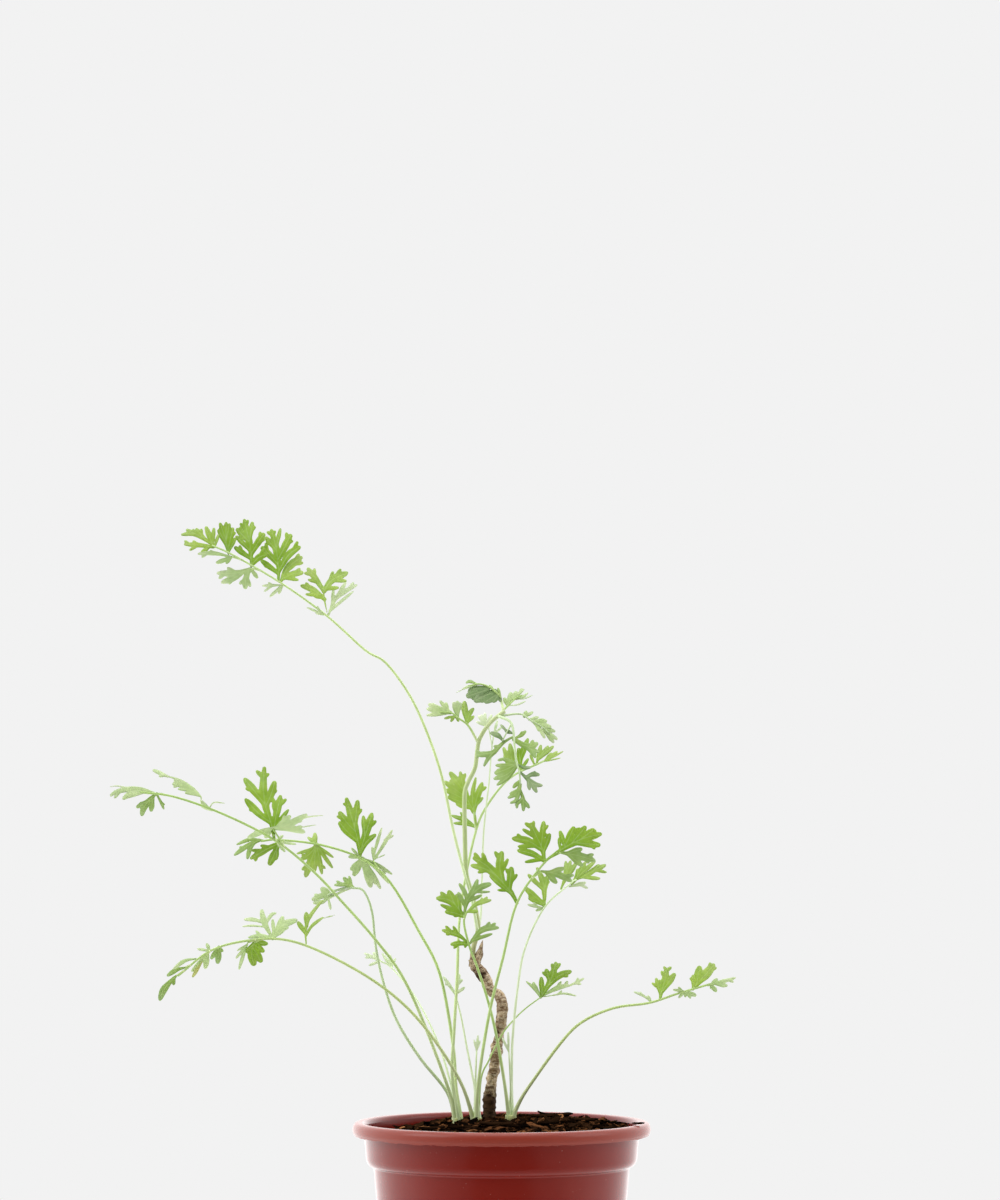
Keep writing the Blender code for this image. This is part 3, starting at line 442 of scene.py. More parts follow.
@dataclass(frozen=True)
class StemBark:
    """Papery tan bark with dark cracks, green-grey patches, fibres along the stem, and painted shade and highlight on
    its wrinkles.
    """

    pale: Colour = (0.66, 0.54, 0.40)
    tan: Colour = (0.20, 0.12, 0.06)
    dark: Colour = (0.062, 0.032, 0.014)

    def build(self) -> Material:
        """Returns the material."""
        made, tree, shader = new_finish("stem_bark")
        path = tree.add("ShaderNodeUVMap", uv_map="grain").outputs[0]
        where = tree.place()
        # Darker at the stem's foot, in two bands and towards the papers' bases, as stored on the mesh.
        dirt = tree.seen("dirt")
        long = tree.add("ShaderNodeMapping", Vector=path, Scale=(9.0, 42.0, 1.0)).outputs[0]
        fibre = tree.noise(long, 1.0, 7.0, Roughness=0.65, Distortion=0.7)
        patch = tree.noise(where, 210.0, 4.0, Roughness=0.6)
        crack = tree.noise(where, 520.0, 5.0, Roughness=0.7)
        colour = tree.ramp(fibre, [(0.36, self.tan), (0.46, (0.46, 0.34, 0.21)), (0.57, self.pale)])
        colour = tree.mix(tree.mask(patch, 0.54, 0.61, 0.62), colour, (0.19, 0.11, 0.055))
        blot = tree.plus(tree.times(dirt, 0.42), tree.times(crack, 0.75))
        colour = tree.mix(tree.mask(blot, 0.52, 0.70), colour, self.dark)
        # Painted shade and painted highlight: the colour is darker in the wrinkles' creases and lighter on their
        # ridges, following the same relief as the bump.
        across = tree.add("ShaderNodeMapping", Vector=where, Scale=(130.0, 130.0, 430.0)).outputs[0]
        wrinkle = tree.noise(across, 1.0, 4.0, Distortion=1.2)
        crease_shade_and_highlight = tree.ramp(wrinkle, [(0.40, (0.34, 0.24, 0.17)), (0.50, (1, 1, 1)), (0.62, (1.12, 1.10, 1.06))])
        colour = tree.mix(0.8, colour, crease_shade_and_highlight, "MULTIPLY")
        split = tree.mask(crack, 0.58, 0.66)
        tree.give(shader, Base_Color=tree.mix(tree.times(split, 0.8), colour, (0.06, 0.03, 0.015)), Roughness=0.85,
                  Specular_IOR_Level=0.15)
        rough = tree.plus(fibre, tree.plus(tree.times(crack, 0.8), wrinkle))
        tree.bump(shader, rough, 0.8, 0.0009)
        return made


@dataclass(frozen=True)
class GreenStalk:
    """Juicy leaf stalk: pale at its foot, greener upwards, finely ribbed and thinly furred."""

    def build(self) -> Material:
        """Returns the material."""
        made, tree, shader = new_finish("green_stalk")
        tint = tree.seen("tint", "Color")
        where = tree.place()
        mottle = tree.noise(where, 120.0, 3.0)
        shade = tree.ramp(mottle, [(0.35, (0.90, 0.92, 0.86)), (0.65, (1.05, 1.04, 1.07))])
        colour = tree.mix(1.0, tint, shade, "MULTIPLY")
        tree.give(shader, Base_Color=colour, Roughness=0.45, Sheen_Weight=0.12)
        tree.bump(shader, mottle, 0.15, 0.0001)
        return made


@dataclass(frozen=True)
class Foliage:
    """Wormwood leaf blade: lighter veins, fine grey down, and light showing through it."""

    through: float = 0.38

    def build(self) -> Material:
        """Returns the material."""
        made, tree, shader = new_finish("foliage")
        tint = tree.seen("tint", "Color")
        vein = tree.seen("vein")
        where = tree.place()
        cells = tree.noise(where, 520.0, 2.0, Roughness=0.5)
        broad = tree.noise(where, 110.0, 2.0)
        mottle = tree.ramp(cells, [(0.30, (0.93, 0.95, 0.90)), (0.70, (1.05, 1.04, 1.06))])
        drift = tree.ramp(broad, [(0.35, (0.88, 0.92, 0.84)), (0.65, (1.08, 1.04, 1.10))])
        colour = tree.mix(1.0, tree.mix(1.0, tint, mottle, "MULTIPLY"), drift, "MULTIPLY")
        rib = tree.ramp(vein, [(0.0, (1, 1, 1)), (0.16, (0.45, 0.45, 0.45)), (0.34, (0, 0, 0))])
        colour = tree.mix(tree.times(rib, 0.36), colour, (0.68, 0.78, 0.44))
        tree.give(shader, Base_Color=colour, Roughness=0.52, Sheen_Weight=0.15)
        height = tree.plus(tree.times(rib, 0.8), tree.times(cells, 0.5))
        tree.bump(shader, height, 0.14, 0.0002)
        glow = tree.add("ShaderNodeBsdfTranslucent", Color=colour)
        both = tree.add("ShaderNodeMixShader", Fac=self.through, in1=shader.outputs[0], in2=glow.outputs[0])
        tree.tree.links.new(both.outputs[0], tree.tree.nodes["Material Output"].inputs[0])
        return made


@dataclass(frozen=True)
class Backdrop:
    """Pale floor that runs into the pale surroundings with no edge."""

    colour: Colour = (0.888, 0.888, 0.888)
    near: float = 0.30
    far: float = 0.80

    def build(self) -> Material:
        """Returns the material."""
        made, tree, shader = new_finish("pale_floor")
        where = tree.place()
        away = tree.add("ShaderNodeVectorMath", operation="LENGTH", in0=where).outputs["Value"]
        fade = tree.add("ShaderNodeMapRange", Value=away, From_Min=self.near, From_Max=self.far).outputs[0]
        tree.give(shader, Base_Color=(0.86, 0.86, 0.86, 1), Roughness=0.9, Specular_IOR_Level=0.0)
        glow = tree.add("ShaderNodeEmission", Color=(*self.colour, 1), Strength=1.0)
        both = tree.add("ShaderNodeMixShader", Fac=fade, in1=shader.outputs[0], in2=glow.outputs[0])
        tree.tree.links.new(both.outputs[0], tree.tree.nodes["Material Output"].inputs[0])
        return made


# ---------------------------------------------------------------- growth tools (Geometry Nodes)
class Grower:
    """A Geometry Nodes tree with named inputs that turns one object's geometry into finished shape."""

    def __init__(self, name: str, inputs: Sequence[tuple[str, str, object]]) -> None:
        """Makes the tree's outside.

        Args:
            name: The tree's name.
            inputs: Name, socket type and default of each input after the geometry.
        """
        self.group = bpy.data.node_groups.new(name, "GeometryNodeTree")
        face = self.group.interface
        face.new_socket("Geometry", in_out="INPUT", socket_type="NodeSocketGeometry")
        face.new_socket("Geometry", in_out="OUTPUT", socket_type="NodeSocketGeometry")
        self.ids: dict[str, str] = {}
        for label, kind, value in inputs:
            made = face.new_socket(label, in_out="INPUT", socket_type=kind)
            if value is not None:
                made.default_value = value
            self.ids[label] = made.identifier
        self.nodes = Tree(self.group)
        self.source = self.nodes.add("NodeGroupInput")
        self.build()

    def build(self) -> None:
        """Fills the tree; each kind of grower has its own."""
        raise NotImplementedError

    def finish(self, geometry: Socket) -> None:
        """Ends the tree: instances made real and the finish put on."""
        real = self.nodes.add("GeometryNodeRealizeInstances", Geometry=geometry)
        painted = self.nodes.add("GeometryNodeSetMaterial", Geometry=real, Material=self.source.outputs["Finish"])
        self.nodes.add("NodeGroupOutput", Geometry=painted)

    def run(self, base: Mesh, values: dict[str, object]) -> Mesh:
        """Applies the tree to a mesh.

        Args:
            base: The mesh that it starts from.
            values: A value for each named input.

        Returns:
            The result as a plain mesh.
        """
        carrier = new_object("grower", base)
        step = carrier.modifiers.new("grow", "NODES")
        step.node_group = self.group
        for label, value in values.items():
            step[self.ids[label]] = value
        carrier.update_tag()
        bpy.context.view_layer.update()
        graph = bpy.context.evaluated_depsgraph_get()
        result = bpy.data.meshes.new_from_object(carrier.evaluated_get(graph))
        carrier.modifiers.remove(step)
        bpy.data.objects.remove(carrier, do_unlink=True)
        return result


class StalkGrower(Grower):
    """Follows a line of edges with a tapering stalk that flares at its foot."""

    def __init__(self) -> None:
        """Names the stalk's sizes."""
        super().__init__("Stalk along a line", [
            ("Foot Width", "NodeSocketFloat", 0.0013), ("End Share", "NodeSocketFloat", 0.5),
            ("Flare", "NodeSocketFloat", 0.0), ("Flare Length", "NodeSocketFloat", 0.01),
            ("Facets", "NodeSocketInt", 10), ("Finish", "NodeSocketMaterial", None)])

    def build(self) -> None:
        """Line to curve, radius by the way along it, and a round profile swept over it."""
        t, given = self.nodes, self.source.outputs
        line = t.add("GeometryNodeMeshToCurve", Mesh=given["Geometry"])
        along = t.add("GeometryNodeSplineParameter")
        lost = t.maths("SUBTRACT", 1.0, given["End Share"])
        taper = t.maths("SUBTRACT", 1.0, t.times(lost, along.outputs["Factor"]))
        body = t.times(t.times(given["Foot Width"], 0.5), taper)
        near = t.maths("SUBTRACT", 1.0, t.maths("DIVIDE", along.outputs["Length"], given["Flare Length"]))
        foot = t.times(t.maths("POWER", t.maths("MAXIMUM", near, 0.0), 2.0), given["Flare"])
        kept = t.add("GeometryNodeStoreNamedAttribute", Geometry=line, Name="along", Value=along.outputs["Factor"])
        ring = t.add("GeometryNodeCurvePrimitiveCircle", Resolution=given["Facets"], Radius=1.0)
        swept = t.add("GeometryNodeCurveToMesh", Curve=kept, Profile_Curve=ring.outputs[0], Fill_Caps=True,
                      Scale=t.plus(body, foot))
        self.finish(t.add("GeometryNodeSetShadeSmooth", Geometry=swept).outputs[0])


class FlakeScatter(Grower):
    """Strews flakes over a surface, each turned, sized and bent in its own way."""

    def __init__(self) -> None:
        """Names the flakes' sizes."""
        super().__init__("Flakes on a surface", [
            ("Spacing", "NodeSocketFloat", 0.002), ("Density", "NodeSocketFloat", 60000.0),
            ("Flake Size", "NodeSocketVector", (0.006, 0.0018, 0.0007)), ("Smallest", "NodeSocketFloat", 0.4),
            ("Largest", "NodeSocketFloat", 1.3), ("Tilt", "NodeSocketFloat", 0.35), ("Lift", "NodeSocketFloat", 0.0003),
            ("Roughness", "NodeSocketFloat", 0.0006), ("Along", "NodeSocketVector", (1.0, 0.0, 0.0)),
            ("Free Turn", "NodeSocketFloat", 3.1416), ("Seed", "NodeSocketInt", 1),
            ("Finish", "NodeSocketMaterial", None)])

    def build(self) -> None:
        """Points on the faces, a flake on each, and a rough edge to every flake."""
        t, given = self.nodes, self.source.outputs
        spots = t.add("GeometryNodeDistributePointsOnFaces", distribute_method="POISSON", Mesh=given["Geometry"],
                      Distance_Min=given["Spacing"], Density_Max=given["Density"], Seed=given["Seed"])
        block = t.add("GeometryNodeMeshCube", Size=(1.0, 1.0, 1.0), Vertices_X=5, Vertices_Y=3, Vertices_Z=2)
        shaped = t.add("GeometryNodeSetPosition", Geometry=block)
        place = t.add("GeometryNodeInputPosition")
        parts = t.add("ShaderNodeSeparateXYZ", Vector=place)
        far = t.maths("POWER", t.maths("ABSOLUTE", parts.outputs[0]), 2.0)
        narrow = t.maths("SUBTRACT", 1.0, t.times(far, 2.4))
        inwards = t.add("ShaderNodeCombineXYZ", X=parts.outputs[0], Y=t.times(parts.outputs[1], narrow),
                        Z=t.times(parts.outputs[2], narrow))
        t.put(shaped, "Position", inwards)
        flat = t.add("FunctionNodeAlignRotationToVector", axis="Z", Vector=spots.outputs["Normal"])
        lined = t.add("FunctionNodeAlignRotationToVector", axis="X", pivot_axis="Z", Rotation=flat,
                      Vector=given["Along"])
        spin = self.random(-1.0, 1.0, 11)
        turn = t.add("ShaderNodeCombineXYZ", X=t.times(self.random(-1.0, 1.0, 12), given["Tilt"]),
                     Y=t.times(self.random(-1.0, 1.0, 13), given["Tilt"]),
                     Z=t.times(spin, given["Free Turn"]))
        turned = t.add("FunctionNodeRotateRotation", rotation_space="LOCAL", Rotation=lined,
                       Rotate_By=t.add("FunctionNodeEulerToRotation", Euler=turn).outputs[0])
        grade = self.nodes.add("ShaderNodeMapRange", Value=self.random(0.0, 1.0, 14),
                               To_Min=given["Smallest"], To_Max=given["Largest"]).outputs[0]
        size = t.add("ShaderNodeVectorMath", operation="SCALE", in0=given["Flake Size"], Scale=grade)
        laid = t.add("GeometryNodeInstanceOnPoints", Points=spots, Instance=shaped,
                     Rotation=turned, Scale=size)
        raised = t.add("ShaderNodeVectorMath", operation="SCALE", in0=spots.outputs["Normal"], Scale=given["Lift"])
        moved = t.add("GeometryNodeTranslateInstances", Instances=laid, Translation=raised,
                      Local_Space=False)
        toned = t.add("GeometryNodeStoreNamedAttribute", domain="INSTANCE", Geometry=moved, Name="tone",
                      Value=self.random(0.0, 1.0, 15))
        real = t.add("GeometryNodeRealizeInstances", Geometry=toned)
        where = t.add("GeometryNodeInputPosition")
        grain = t.add("ShaderNodeTexNoise", Vector=where, Scale=420.0, Detail=2.0).outputs["Color"]
        middle = t.add("ShaderNodeVectorMath", operation="SUBTRACT", in0=grain, in1=(0.5, 0.5, 0.5)).outputs[0]
        shove = t.add("ShaderNodeVectorMath", operation="SCALE", in0=middle, Scale=given["Roughness"]).outputs[0]
        self.finish(t.add("GeometryNodeSetPosition", Geometry=real, Offset=shove).outputs[0])

    def random(self, low: float, high: float, salt: int) -> Socket:
        """A repeatable random number for each flake."""
        seed = self.nodes.plus(self.source.outputs["Seed"], float(salt))
        made = self.nodes.add("FunctionNodeRandomValue", data_type="FLOAT")
        self.nodes.put(made, 2, low)
        self.nodes.put(made, 3, high)
        self.nodes.put(made, "Seed", seed)
        return made.outputs[1]


# ---------------------------------------------------------------- colours of the plant
def paint(code: str) -> Colour:
    """Turns a colour code such as 9EB755 into linear light."""
    parts = [int(code[i:i + 2], 16) / 255 for i in (0, 2, 4)]
    return tuple(c / 12.92 if c <= 0.04045 else ((c + 0.055) / 1.055) ** 2.4 for c in parts)


class Tone(Enum):
    """A blade's colour in its middle and at its lobes' tips; the paler tip colour is a painted reflection of the white
    surroundings.
    """

    BRIGHT = ("8DB326", "9DBA46")
    FRESH = ("A5C34A", "B2C871")
    MID = ("94B255", "A7C07E")
    SILVER = ("B4CA8B", "C8D6AA")
    PALE = ("C4D5A2", "D3DFBC")
    FAINT = ("DCE7C6", "E3EBD4")
    DARK = ("7A975E", "9FB384")
    YELLOW = ("B9BE5A", "C3C77A")


class StalkTone(Enum):
    """A stalk's colour at its foot, half way and at its end."""

    GREEN = ("CFDCA8", "A8C274", "98B660")
    LIGHT = ("CFDEB0", "BBD08A", "AFC880")
    OLIVE = ("C9D3A0", "AFC078", "9DB86A")
    SILVERY = ("BCCFA0", "B2C596", "A5BA8A")
    PALE = ("DDE8CC", "D5E3BC", "CCDDB0")
    SHOOT = ("A9A878", "A3B478", "B9C690")


# ---------------------------------------------------------------- leaf blades
@dataclass(frozen=True)
class Lobe:
    """One lobe of a blade: a line with the half width at each of its points."""

    line: np.ndarray
    halves: np.ndarray
    rib: float


@dataclass
class Blade:
    """A lobed blade in its own plane, u to the right and v upwards from its base, in millimetres."""

    drawn: Sequence[tuple]
    tone: Tone
    seed: int
    cell: float = 0.42
    lobes: list[Lobe] = field(default_factory=list)

    def reach(self) -> float:
        """Distance from the base to the furthest lobe tip."""
        return max(math.hypot(*line[-2:]) for _, line, *_ in self.drawn)

    def grow(self) -> None:
        """Makes the lobes from their lines, then the small teeth beside them."""
        teeth = []
        for number, (half, *steps) in enumerate(self.drawn):
            line, *tips = (np.array(pairs, dtype=float).reshape(-1, 2) for pairs in steps)
            lobe = self.lobe(line, half, 0.35 if number == 0 else 0.62, 1.0)
            self.lobes.append(lobe)
            teeth += [(lobe, half, tip) for row in tips for tip in row]
        for lobe, half, tip in teeth:
            start = self.branch_point(lobe, tip)
            span = float(np.linalg.norm(tip - start))
            size = min(0.30 + 0.42 * half, 0.22 * span + 0.35)
            self.lobes.append(self.lobe([start, tip], size, 1.0, 0.25))

    @staticmethod
    def branch_point(lobe: Lobe, tip: np.ndarray) -> np.ndarray:
        """Finds the place on a lobe where a side tooth leaves it at an easy turn."""
        best = (1e9, lobe.line[0])
        for k in range(1, len(lobe.line) - 1):
            ahead, to = lobe.line[k + 1] - lobe.line[k], tip - lobe.line[k]
            size = float(np.linalg.norm(ahead) * np.linalg.norm(to))
            turn = math.acos(max(-1.0, min(1.0, float(ahead @ to) / max(size, 1e-9))))
            if abs(turn - 0.66) < best[0]:
                best = (abs(turn - 0.66), lobe.line[k])
        return best[1]

    @staticmethod
    def lobe(points: Sequence[np.ndarray], half: float, waist: float, rib: float) -> Lobe:
        """Makes one lobe along a smooth line.

        Args:
            points: The line from where it begins to its tip.
            half: Its full half width.
            waist: Half width at the beginning against the full one.
            rib: How strong its vein is.

        Returns:
            The lobe.
        """
        line = np.array([p[:] for p in smooth_route([Vector(p) for p in points], max(2, 10 // (len(points) - 1)))])
        steps = np.linalg.norm(np.diff(line, axis=0), axis=1)
        span = float(steps.sum())
        t = np.concatenate([[0], np.cumsum(steps)]) / max(span, 1e-9)
        full = min(half * (0.80 + 0.05 * half), 0.26 * span + 0.22)
        rise = waist + (1 - waist) * np.clip(t / 0.55, 0, 1) ** 1.2
        fall = np.where(t > 0.62, 1 - 0.55 * ((t - 0.62) / 0.38) ** 1.6, 1.0)
        halves = np.maximum(full * rise * fall, 0.2)
        end = line[-1] - line[-2]
        line[-1] -= end / max(float(np.linalg.norm(end)), 1e-9) * min(halves[-1], float(steps[-1]) * 0.9)
        return Lobe(line, halves, rib)

    def measure(self, where: np.ndarray) -> tuple[np.ndarray, np.ndarray]:
        """Measures places of the plane against the lobes.

        Args:
            where: The places, one row each.

        Returns:
            How far each lies outside the outline, negative within it, and how far from a vein.
        """
        edge = np.full(len(where), 1e3)
        vein = np.full(len(where), 1e3)
        for lobe in self.lobes:
            blend = 0.28 if lobe.rib > 0.5 else 0.12
            own = np.full(len(where), 1e3)
            for a, b, ra, rb in zip(lobe.line, lobe.line[1:], lobe.halves, lobe.halves[1:]):
                step = b - a
                share = np.clip((where - a) @ step / max(float(step @ step), 1e-9), 0, 1)
                away = np.linalg.norm(where - a - share[:, None] * step, axis=1)
                own = np.minimum(own, away - (ra + share * (rb - ra)))
                vein = np.minimum(vein, away + (1 - lobe.rib) * 0.5)
            mixed = np.clip(0.5 + 0.5 * (own - edge) / blend, 0, 1)
            edge = own * (1 - mixed) + edge * mixed - blend * mixed * (1 - mixed)
        return edge, vein

    def outline_cells(self) -> tuple[np.ndarray, Faces]:
        """Cuts the blade's plane into small faces that follow its outline.

        Returns:
            The points and the faces, each counter-clockwise.
        """
        reach = 1.2 + max(float(lobe.halves.max()) for lobe in self.lobes)
        low = np.min([lobe.line.min(0) for lobe in self.lobes], axis=0) - reach
        high = np.max([lobe.line.max(0) for lobe in self.lobes], axis=0) + reach
        us, vs = np.arange(low[0], high[0], self.cell), np.arange(low[1], high[1], self.cell)
        grid = np.stack(np.meshgrid(us, vs, indexing="ij"), axis=-1)
        value = self.measure(grid.reshape(-1, 2))[0].reshape(grid.shape[:2])
        points: list[np.ndarray] = []
        known: dict[tuple, int] = {}

        def corner(i: int, j: int) -> int:
            if (i, j) not in known:
                known[(i, j)] = len(points)
                points.append(grid[i, j])
            return known[(i, j)]

        def crossing(one: tuple[int, int], two: tuple[int, int]) -> int:
            key = (min(one, two), max(one, two))
            if key not in known:
                (a, b) = key
                share = value[a] / (value[a] - value[b])
                known[key] = len(points)
                points.append(grid[a] + min(0.9, max(0.1, share)) * (grid[b] - grid[a]))
            return known[key]

        faces = []
        inside = value < 0
        some = inside[:-1, :-1] | inside[1:, :-1] | inside[1:, 1:] | inside[:-1, 1:]
        for i, j in zip(*np.nonzero(some)):
            ring = [(i, j), (i + 1, j), (i + 1, j + 1), (i, j + 1)]
            flags = [bool(inside[c]) for c in ring]
            if flags in ([True, False, True, False], [False, True, False, True]):
                for k in range(4):
                    if flags[k]:
                        faces.append([crossing(ring[k - 1], ring[k]), corner(*ring[k]),
                                      crossing(ring[k], ring[(k + 1) % 4])])
                continue
            face = []
            for k in range(4):
                if flags[k]:
                    face.append(corner(*ring[k]))
                if flags[k] != flags[(k + 1) % 4]:
                    face.append(crossing(ring[k], ring[(k + 1) % 4]))
            if len(face) > 2:
                faces.append(face)
        return np.array(points), faces

    def shape(self, place: Callable[[np.ndarray, np.ndarray, np.ndarray], np.ndarray]) -> tuple:
        """Builds the blade's closed thin shell.

        Args:
            place: Turns u, v and the step back from the blade's plane into points of the plant.

        Returns:
            Points, faces, colours and distances from a vein.
        """
        self.grow()
        flat, cells = self.outline_cells()
        edge, vein = self.measure(flat)
        size = self.reach()
        out = np.linalg.norm(flat, axis=1) / size
        roll = np.array([noise.noise(Vector((u * 0.13, v * 0.13, self.seed * 1.7))) for u, v in flat])
        fine = np.array([noise.noise(Vector((u * 0.5, v * 0.5, self.seed * 3.1))) for u, v in flat])
        arch = 0.10 * size * (1 if self.seed % 3 else -0.6)
        back = arch * out**2 + roll * 0.09 * size * out + fine * 0.10
        back += 0.13 * np.exp(-(vein / 0.9) ** 2) + 0.18 * (1 - np.clip(-edge / 1.1, 0, 1)) ** 2
        thick = np.where(edge > -0.08, 0.06, 0.15)
        front = place(flat[:, 0], flat[:, 1], back - thick)
        rear = place(flat[:, 0], flat[:, 1], back + thick + 0.08 * np.exp(-(vein / 0.8) ** 2))
        count = len(flat)
        faces = [list(f) for f in cells] + [[k + count for k in reversed(f)] for f in cells]
        rims = {(a, b) for f in cells for a, b in zip(f, f[1:] + f[:1])}
        faces += [[b, a, a + count, b + count] for a, b in rims if (b, a) not in rims]
        # Painted reflection: towards the lobes' tips and edges each blade turns to its tone's paler tip colour,
        # standing for white light reflected off it.
        inner, tip_sheen = (np.array(paint(code)) for code in self.tone.value)
        share = np.clip((out - 0.35) * 1.2 + fine * 0.3 + 0.35 * (1 - np.clip(-edge / 0.9, 0, 1)), 0, 1)[:, None]
        tint = inner * (1 - share) + tip_sheen * share
        tint *= 1 + 0.10 * noise.noise(Vector((self.seed * 0.77, 0.3, 0.1)))
        grey = 0.55 * tint + 0.45 * np.array(paint("BFD0A8"))
        return (np.vstack([front, rear]), faces, np.vstack([tint, grey]), np.concatenate([vein, vein + 0.25]))


# ---------------------------------------------------------------- one leaf
class Gathering:
    """Geometry of one finished piece, gathered before its mesh is made."""

    def __init__(self) -> None:
        """Starts with nothing."""
        self.points: list[np.ndarray] = []
        self.faces: Faces = []
        self.tints: list[np.ndarray] = []
        self.veins: list[np.ndarray] = []
        self.kinds: list[int] = []
        self.count = 0

    def add(self, points: np.ndarray, faces: Iterable[Sequence[int]], tints: np.ndarray, veins: np.ndarray,
            kind: int) -> None:
        """Adds a shape.

        Args:
            points: Its points in millimetres.
            faces: Its faces.
            tints: A colour for each point.
            veins: A distance from a vein for each point.
            kind: Which of the piece's finishes it takes.
        """
        faces = [[k + self.count for k in f] for f in faces]
        self.points.append(points)
        self.faces += faces
        self.tints.append(tints)
        self.veins.append(veins)
        self.kinds += [kind] * len(faces)
        self.count += len(points)

    def make(self, name: str, finishes: Sequence[Material]) -> Item:
        """Makes the piece's object."""
        mesh = mesh_of(name, np.vstack(self.points), self.faces)
        set_colours(mesh, "tint", np.vstack(self.tints))
        set_values(mesh, "vein", np.concatenate(self.veins))
        for finish in finishes:
            mesh.materials.append(finish)
        mesh.polygons.foreach_set("material_index", self.kinds)
        return new_object(name, mesh)


@dataclass
class Finishes:
    """Every finish of the model, made once."""

    plastic: Material
    compost: Material
    dark_bark: Material
    tan_bark: Material
    stem: Material
    stalk: Material
    foliage: Material


def stalk_points(grower: StalkGrower, routes: Sequence[Sequence[Vector]], sizes: dict[str, object],
                 tone: StalkTone, finish: Material) -> tuple:
    """Runs the stalk tree over routes.

    Args:
        grower: The stalk tree.
        routes: The lines to follow, in millimetres.
        sizes: Values for the tree's named inputs.
        tone: The stalk's colours.
        finish: The stalk's finish.

    Returns:
        Points in millimetres, faces, colours and distances from a vein.
    """
    points, edges = [], []
    for route in routes:
        edges += [(len(points) + k, len(points) + k + 1) for k in range(len(route) - 1)]
        points += [p * MM for p in route]
    base = bpy.data.meshes.new("line")
    base.from_pydata(points, edges, [])
    made = grower.run(base, {**sizes, "Finish": finish})
    co = np.empty(len(made.vertices) * 3)
    made.vertices.foreach_get("co", co)
    along = np.zeros(len(made.vertices))
    if "along" in made.attributes:
        made.attributes["along"].data.foreach_get("value", along)
    foot, middle, end = (np.array(paint(code)) for code in tone.value)
    low, high = np.clip(along * 3, 0, 1)[:, None], np.clip(along * 1.5 - 0.5, 0, 1)[:, None]
    tints = (foot * (1 - low) + middle * low) * (1 - high) + end * high
    return co.reshape(-1, 3) / MM, [list(p.vertices) for p in made.polygons], tints, np.full(len(along), 9.0)


@dataclass
class Leaf:
    """A whole leaf: its stalk, side stalks and blades."""

    name: str
    foot: list[Vector]
    run: Sequence[Point3]
    blades: Sequence[tuple]
    stalk_tone: StalkTone = StalkTone.GREEN
    width: float = 1.3
    end_share: float = 0.62
    flare: float = 0.6
    slot: str = "leaf"
    seed: int = 1

    def build(self, grower: StalkGrower, finishes: Finishes) -> Item:
        """Grows the leaf.

        Args:
            grower: The stalk tree.
            finishes: The model's finishes.

        Returns:
            The leaf as one object.
        """
        whole = Gathering()
        route = smooth_route([*self.foot, *(plant_point(*p) for p in self.run)], 5)
        sizes = {"Foot Width": self.width * MM, "End Share": self.end_share, "Flare": self.flare * MM,
                 "Flare Length": 0.022, "Facets": 10}
        whole.add(*stalk_points(grower, [route], sizes, self.stalk_tone, finishes.stalk), 0)
        side_stalks = []
        for number, (x, z, lean_x, lean_z, tone, lobes) in enumerate(self.blades):
            near, away, index = self.nearest(route, x, z)
            if away > 0.8:
                back = index
                while back > 0 and (route[back] - near).length < 1.3 * away:
                    back -= 1
                side_stalks.append([route[back], plant_point(x, near.y, z)])
            made = Blade(lobes, tone, self.seed * 31 + number)
            depth = near.y
            stretch = math.sqrt(1 + lean_x**2 + lean_z**2)

            def place(u: np.ndarray, v: np.ndarray, back: np.ndarray) -> np.ndarray:
                y = depth + lean_x * u + lean_z * v + back * stretch
                scale = (STANCE + y) / STANCE
                return np.stack([(x + u) * scale, y, EYE + (z + v - EYE) * scale], axis=1)

            whole.add(*made.shape(place), 1)
        if side_stalks:
            lines = [smooth_route([a, a.lerp(b, 0.5), b], 3) for a, b in side_stalks]
            sizes = {"Foot Width": self.width * 0.62 * MM, "End Share": 0.8, "Flare": 0.15 * MM,
                     "Flare Length": 0.002, "Facets": 8}
            whole.add(*stalk_points(grower, lines, sizes, self.stalk_tone, finishes.stalk), 0)
        made = whole.make(f"{self.name}_look", [finishes.stalk, finishes.foliage])
        dress(made, [], [self.name])
        return made

    @staticmethod
    def nearest(route: Sequence[Vector], x: float, z: float) -> tuple[Vector, float, int]:
        """Finds the place on a route that looks nearest to a point of the front plane, how far off, and its index."""
        best = (route[0], 1e9, 0)
        for index, (low, high) in enumerate(zip(route, route[1:])):
            wanted = plant_point(x, low.y, z)
            step = Vector((high.x - low.x, high.z - low.z))
            off = Vector((wanted.x - low.x, wanted.z - low.z))
            share = min(1.0, max(0.0, off.dot(step) / max(step.length_squared, 1e-9)))
            away = (off - step * share).length
            if away < best[1]:
                best = (low.lerp(high, share), away, index)
        return best


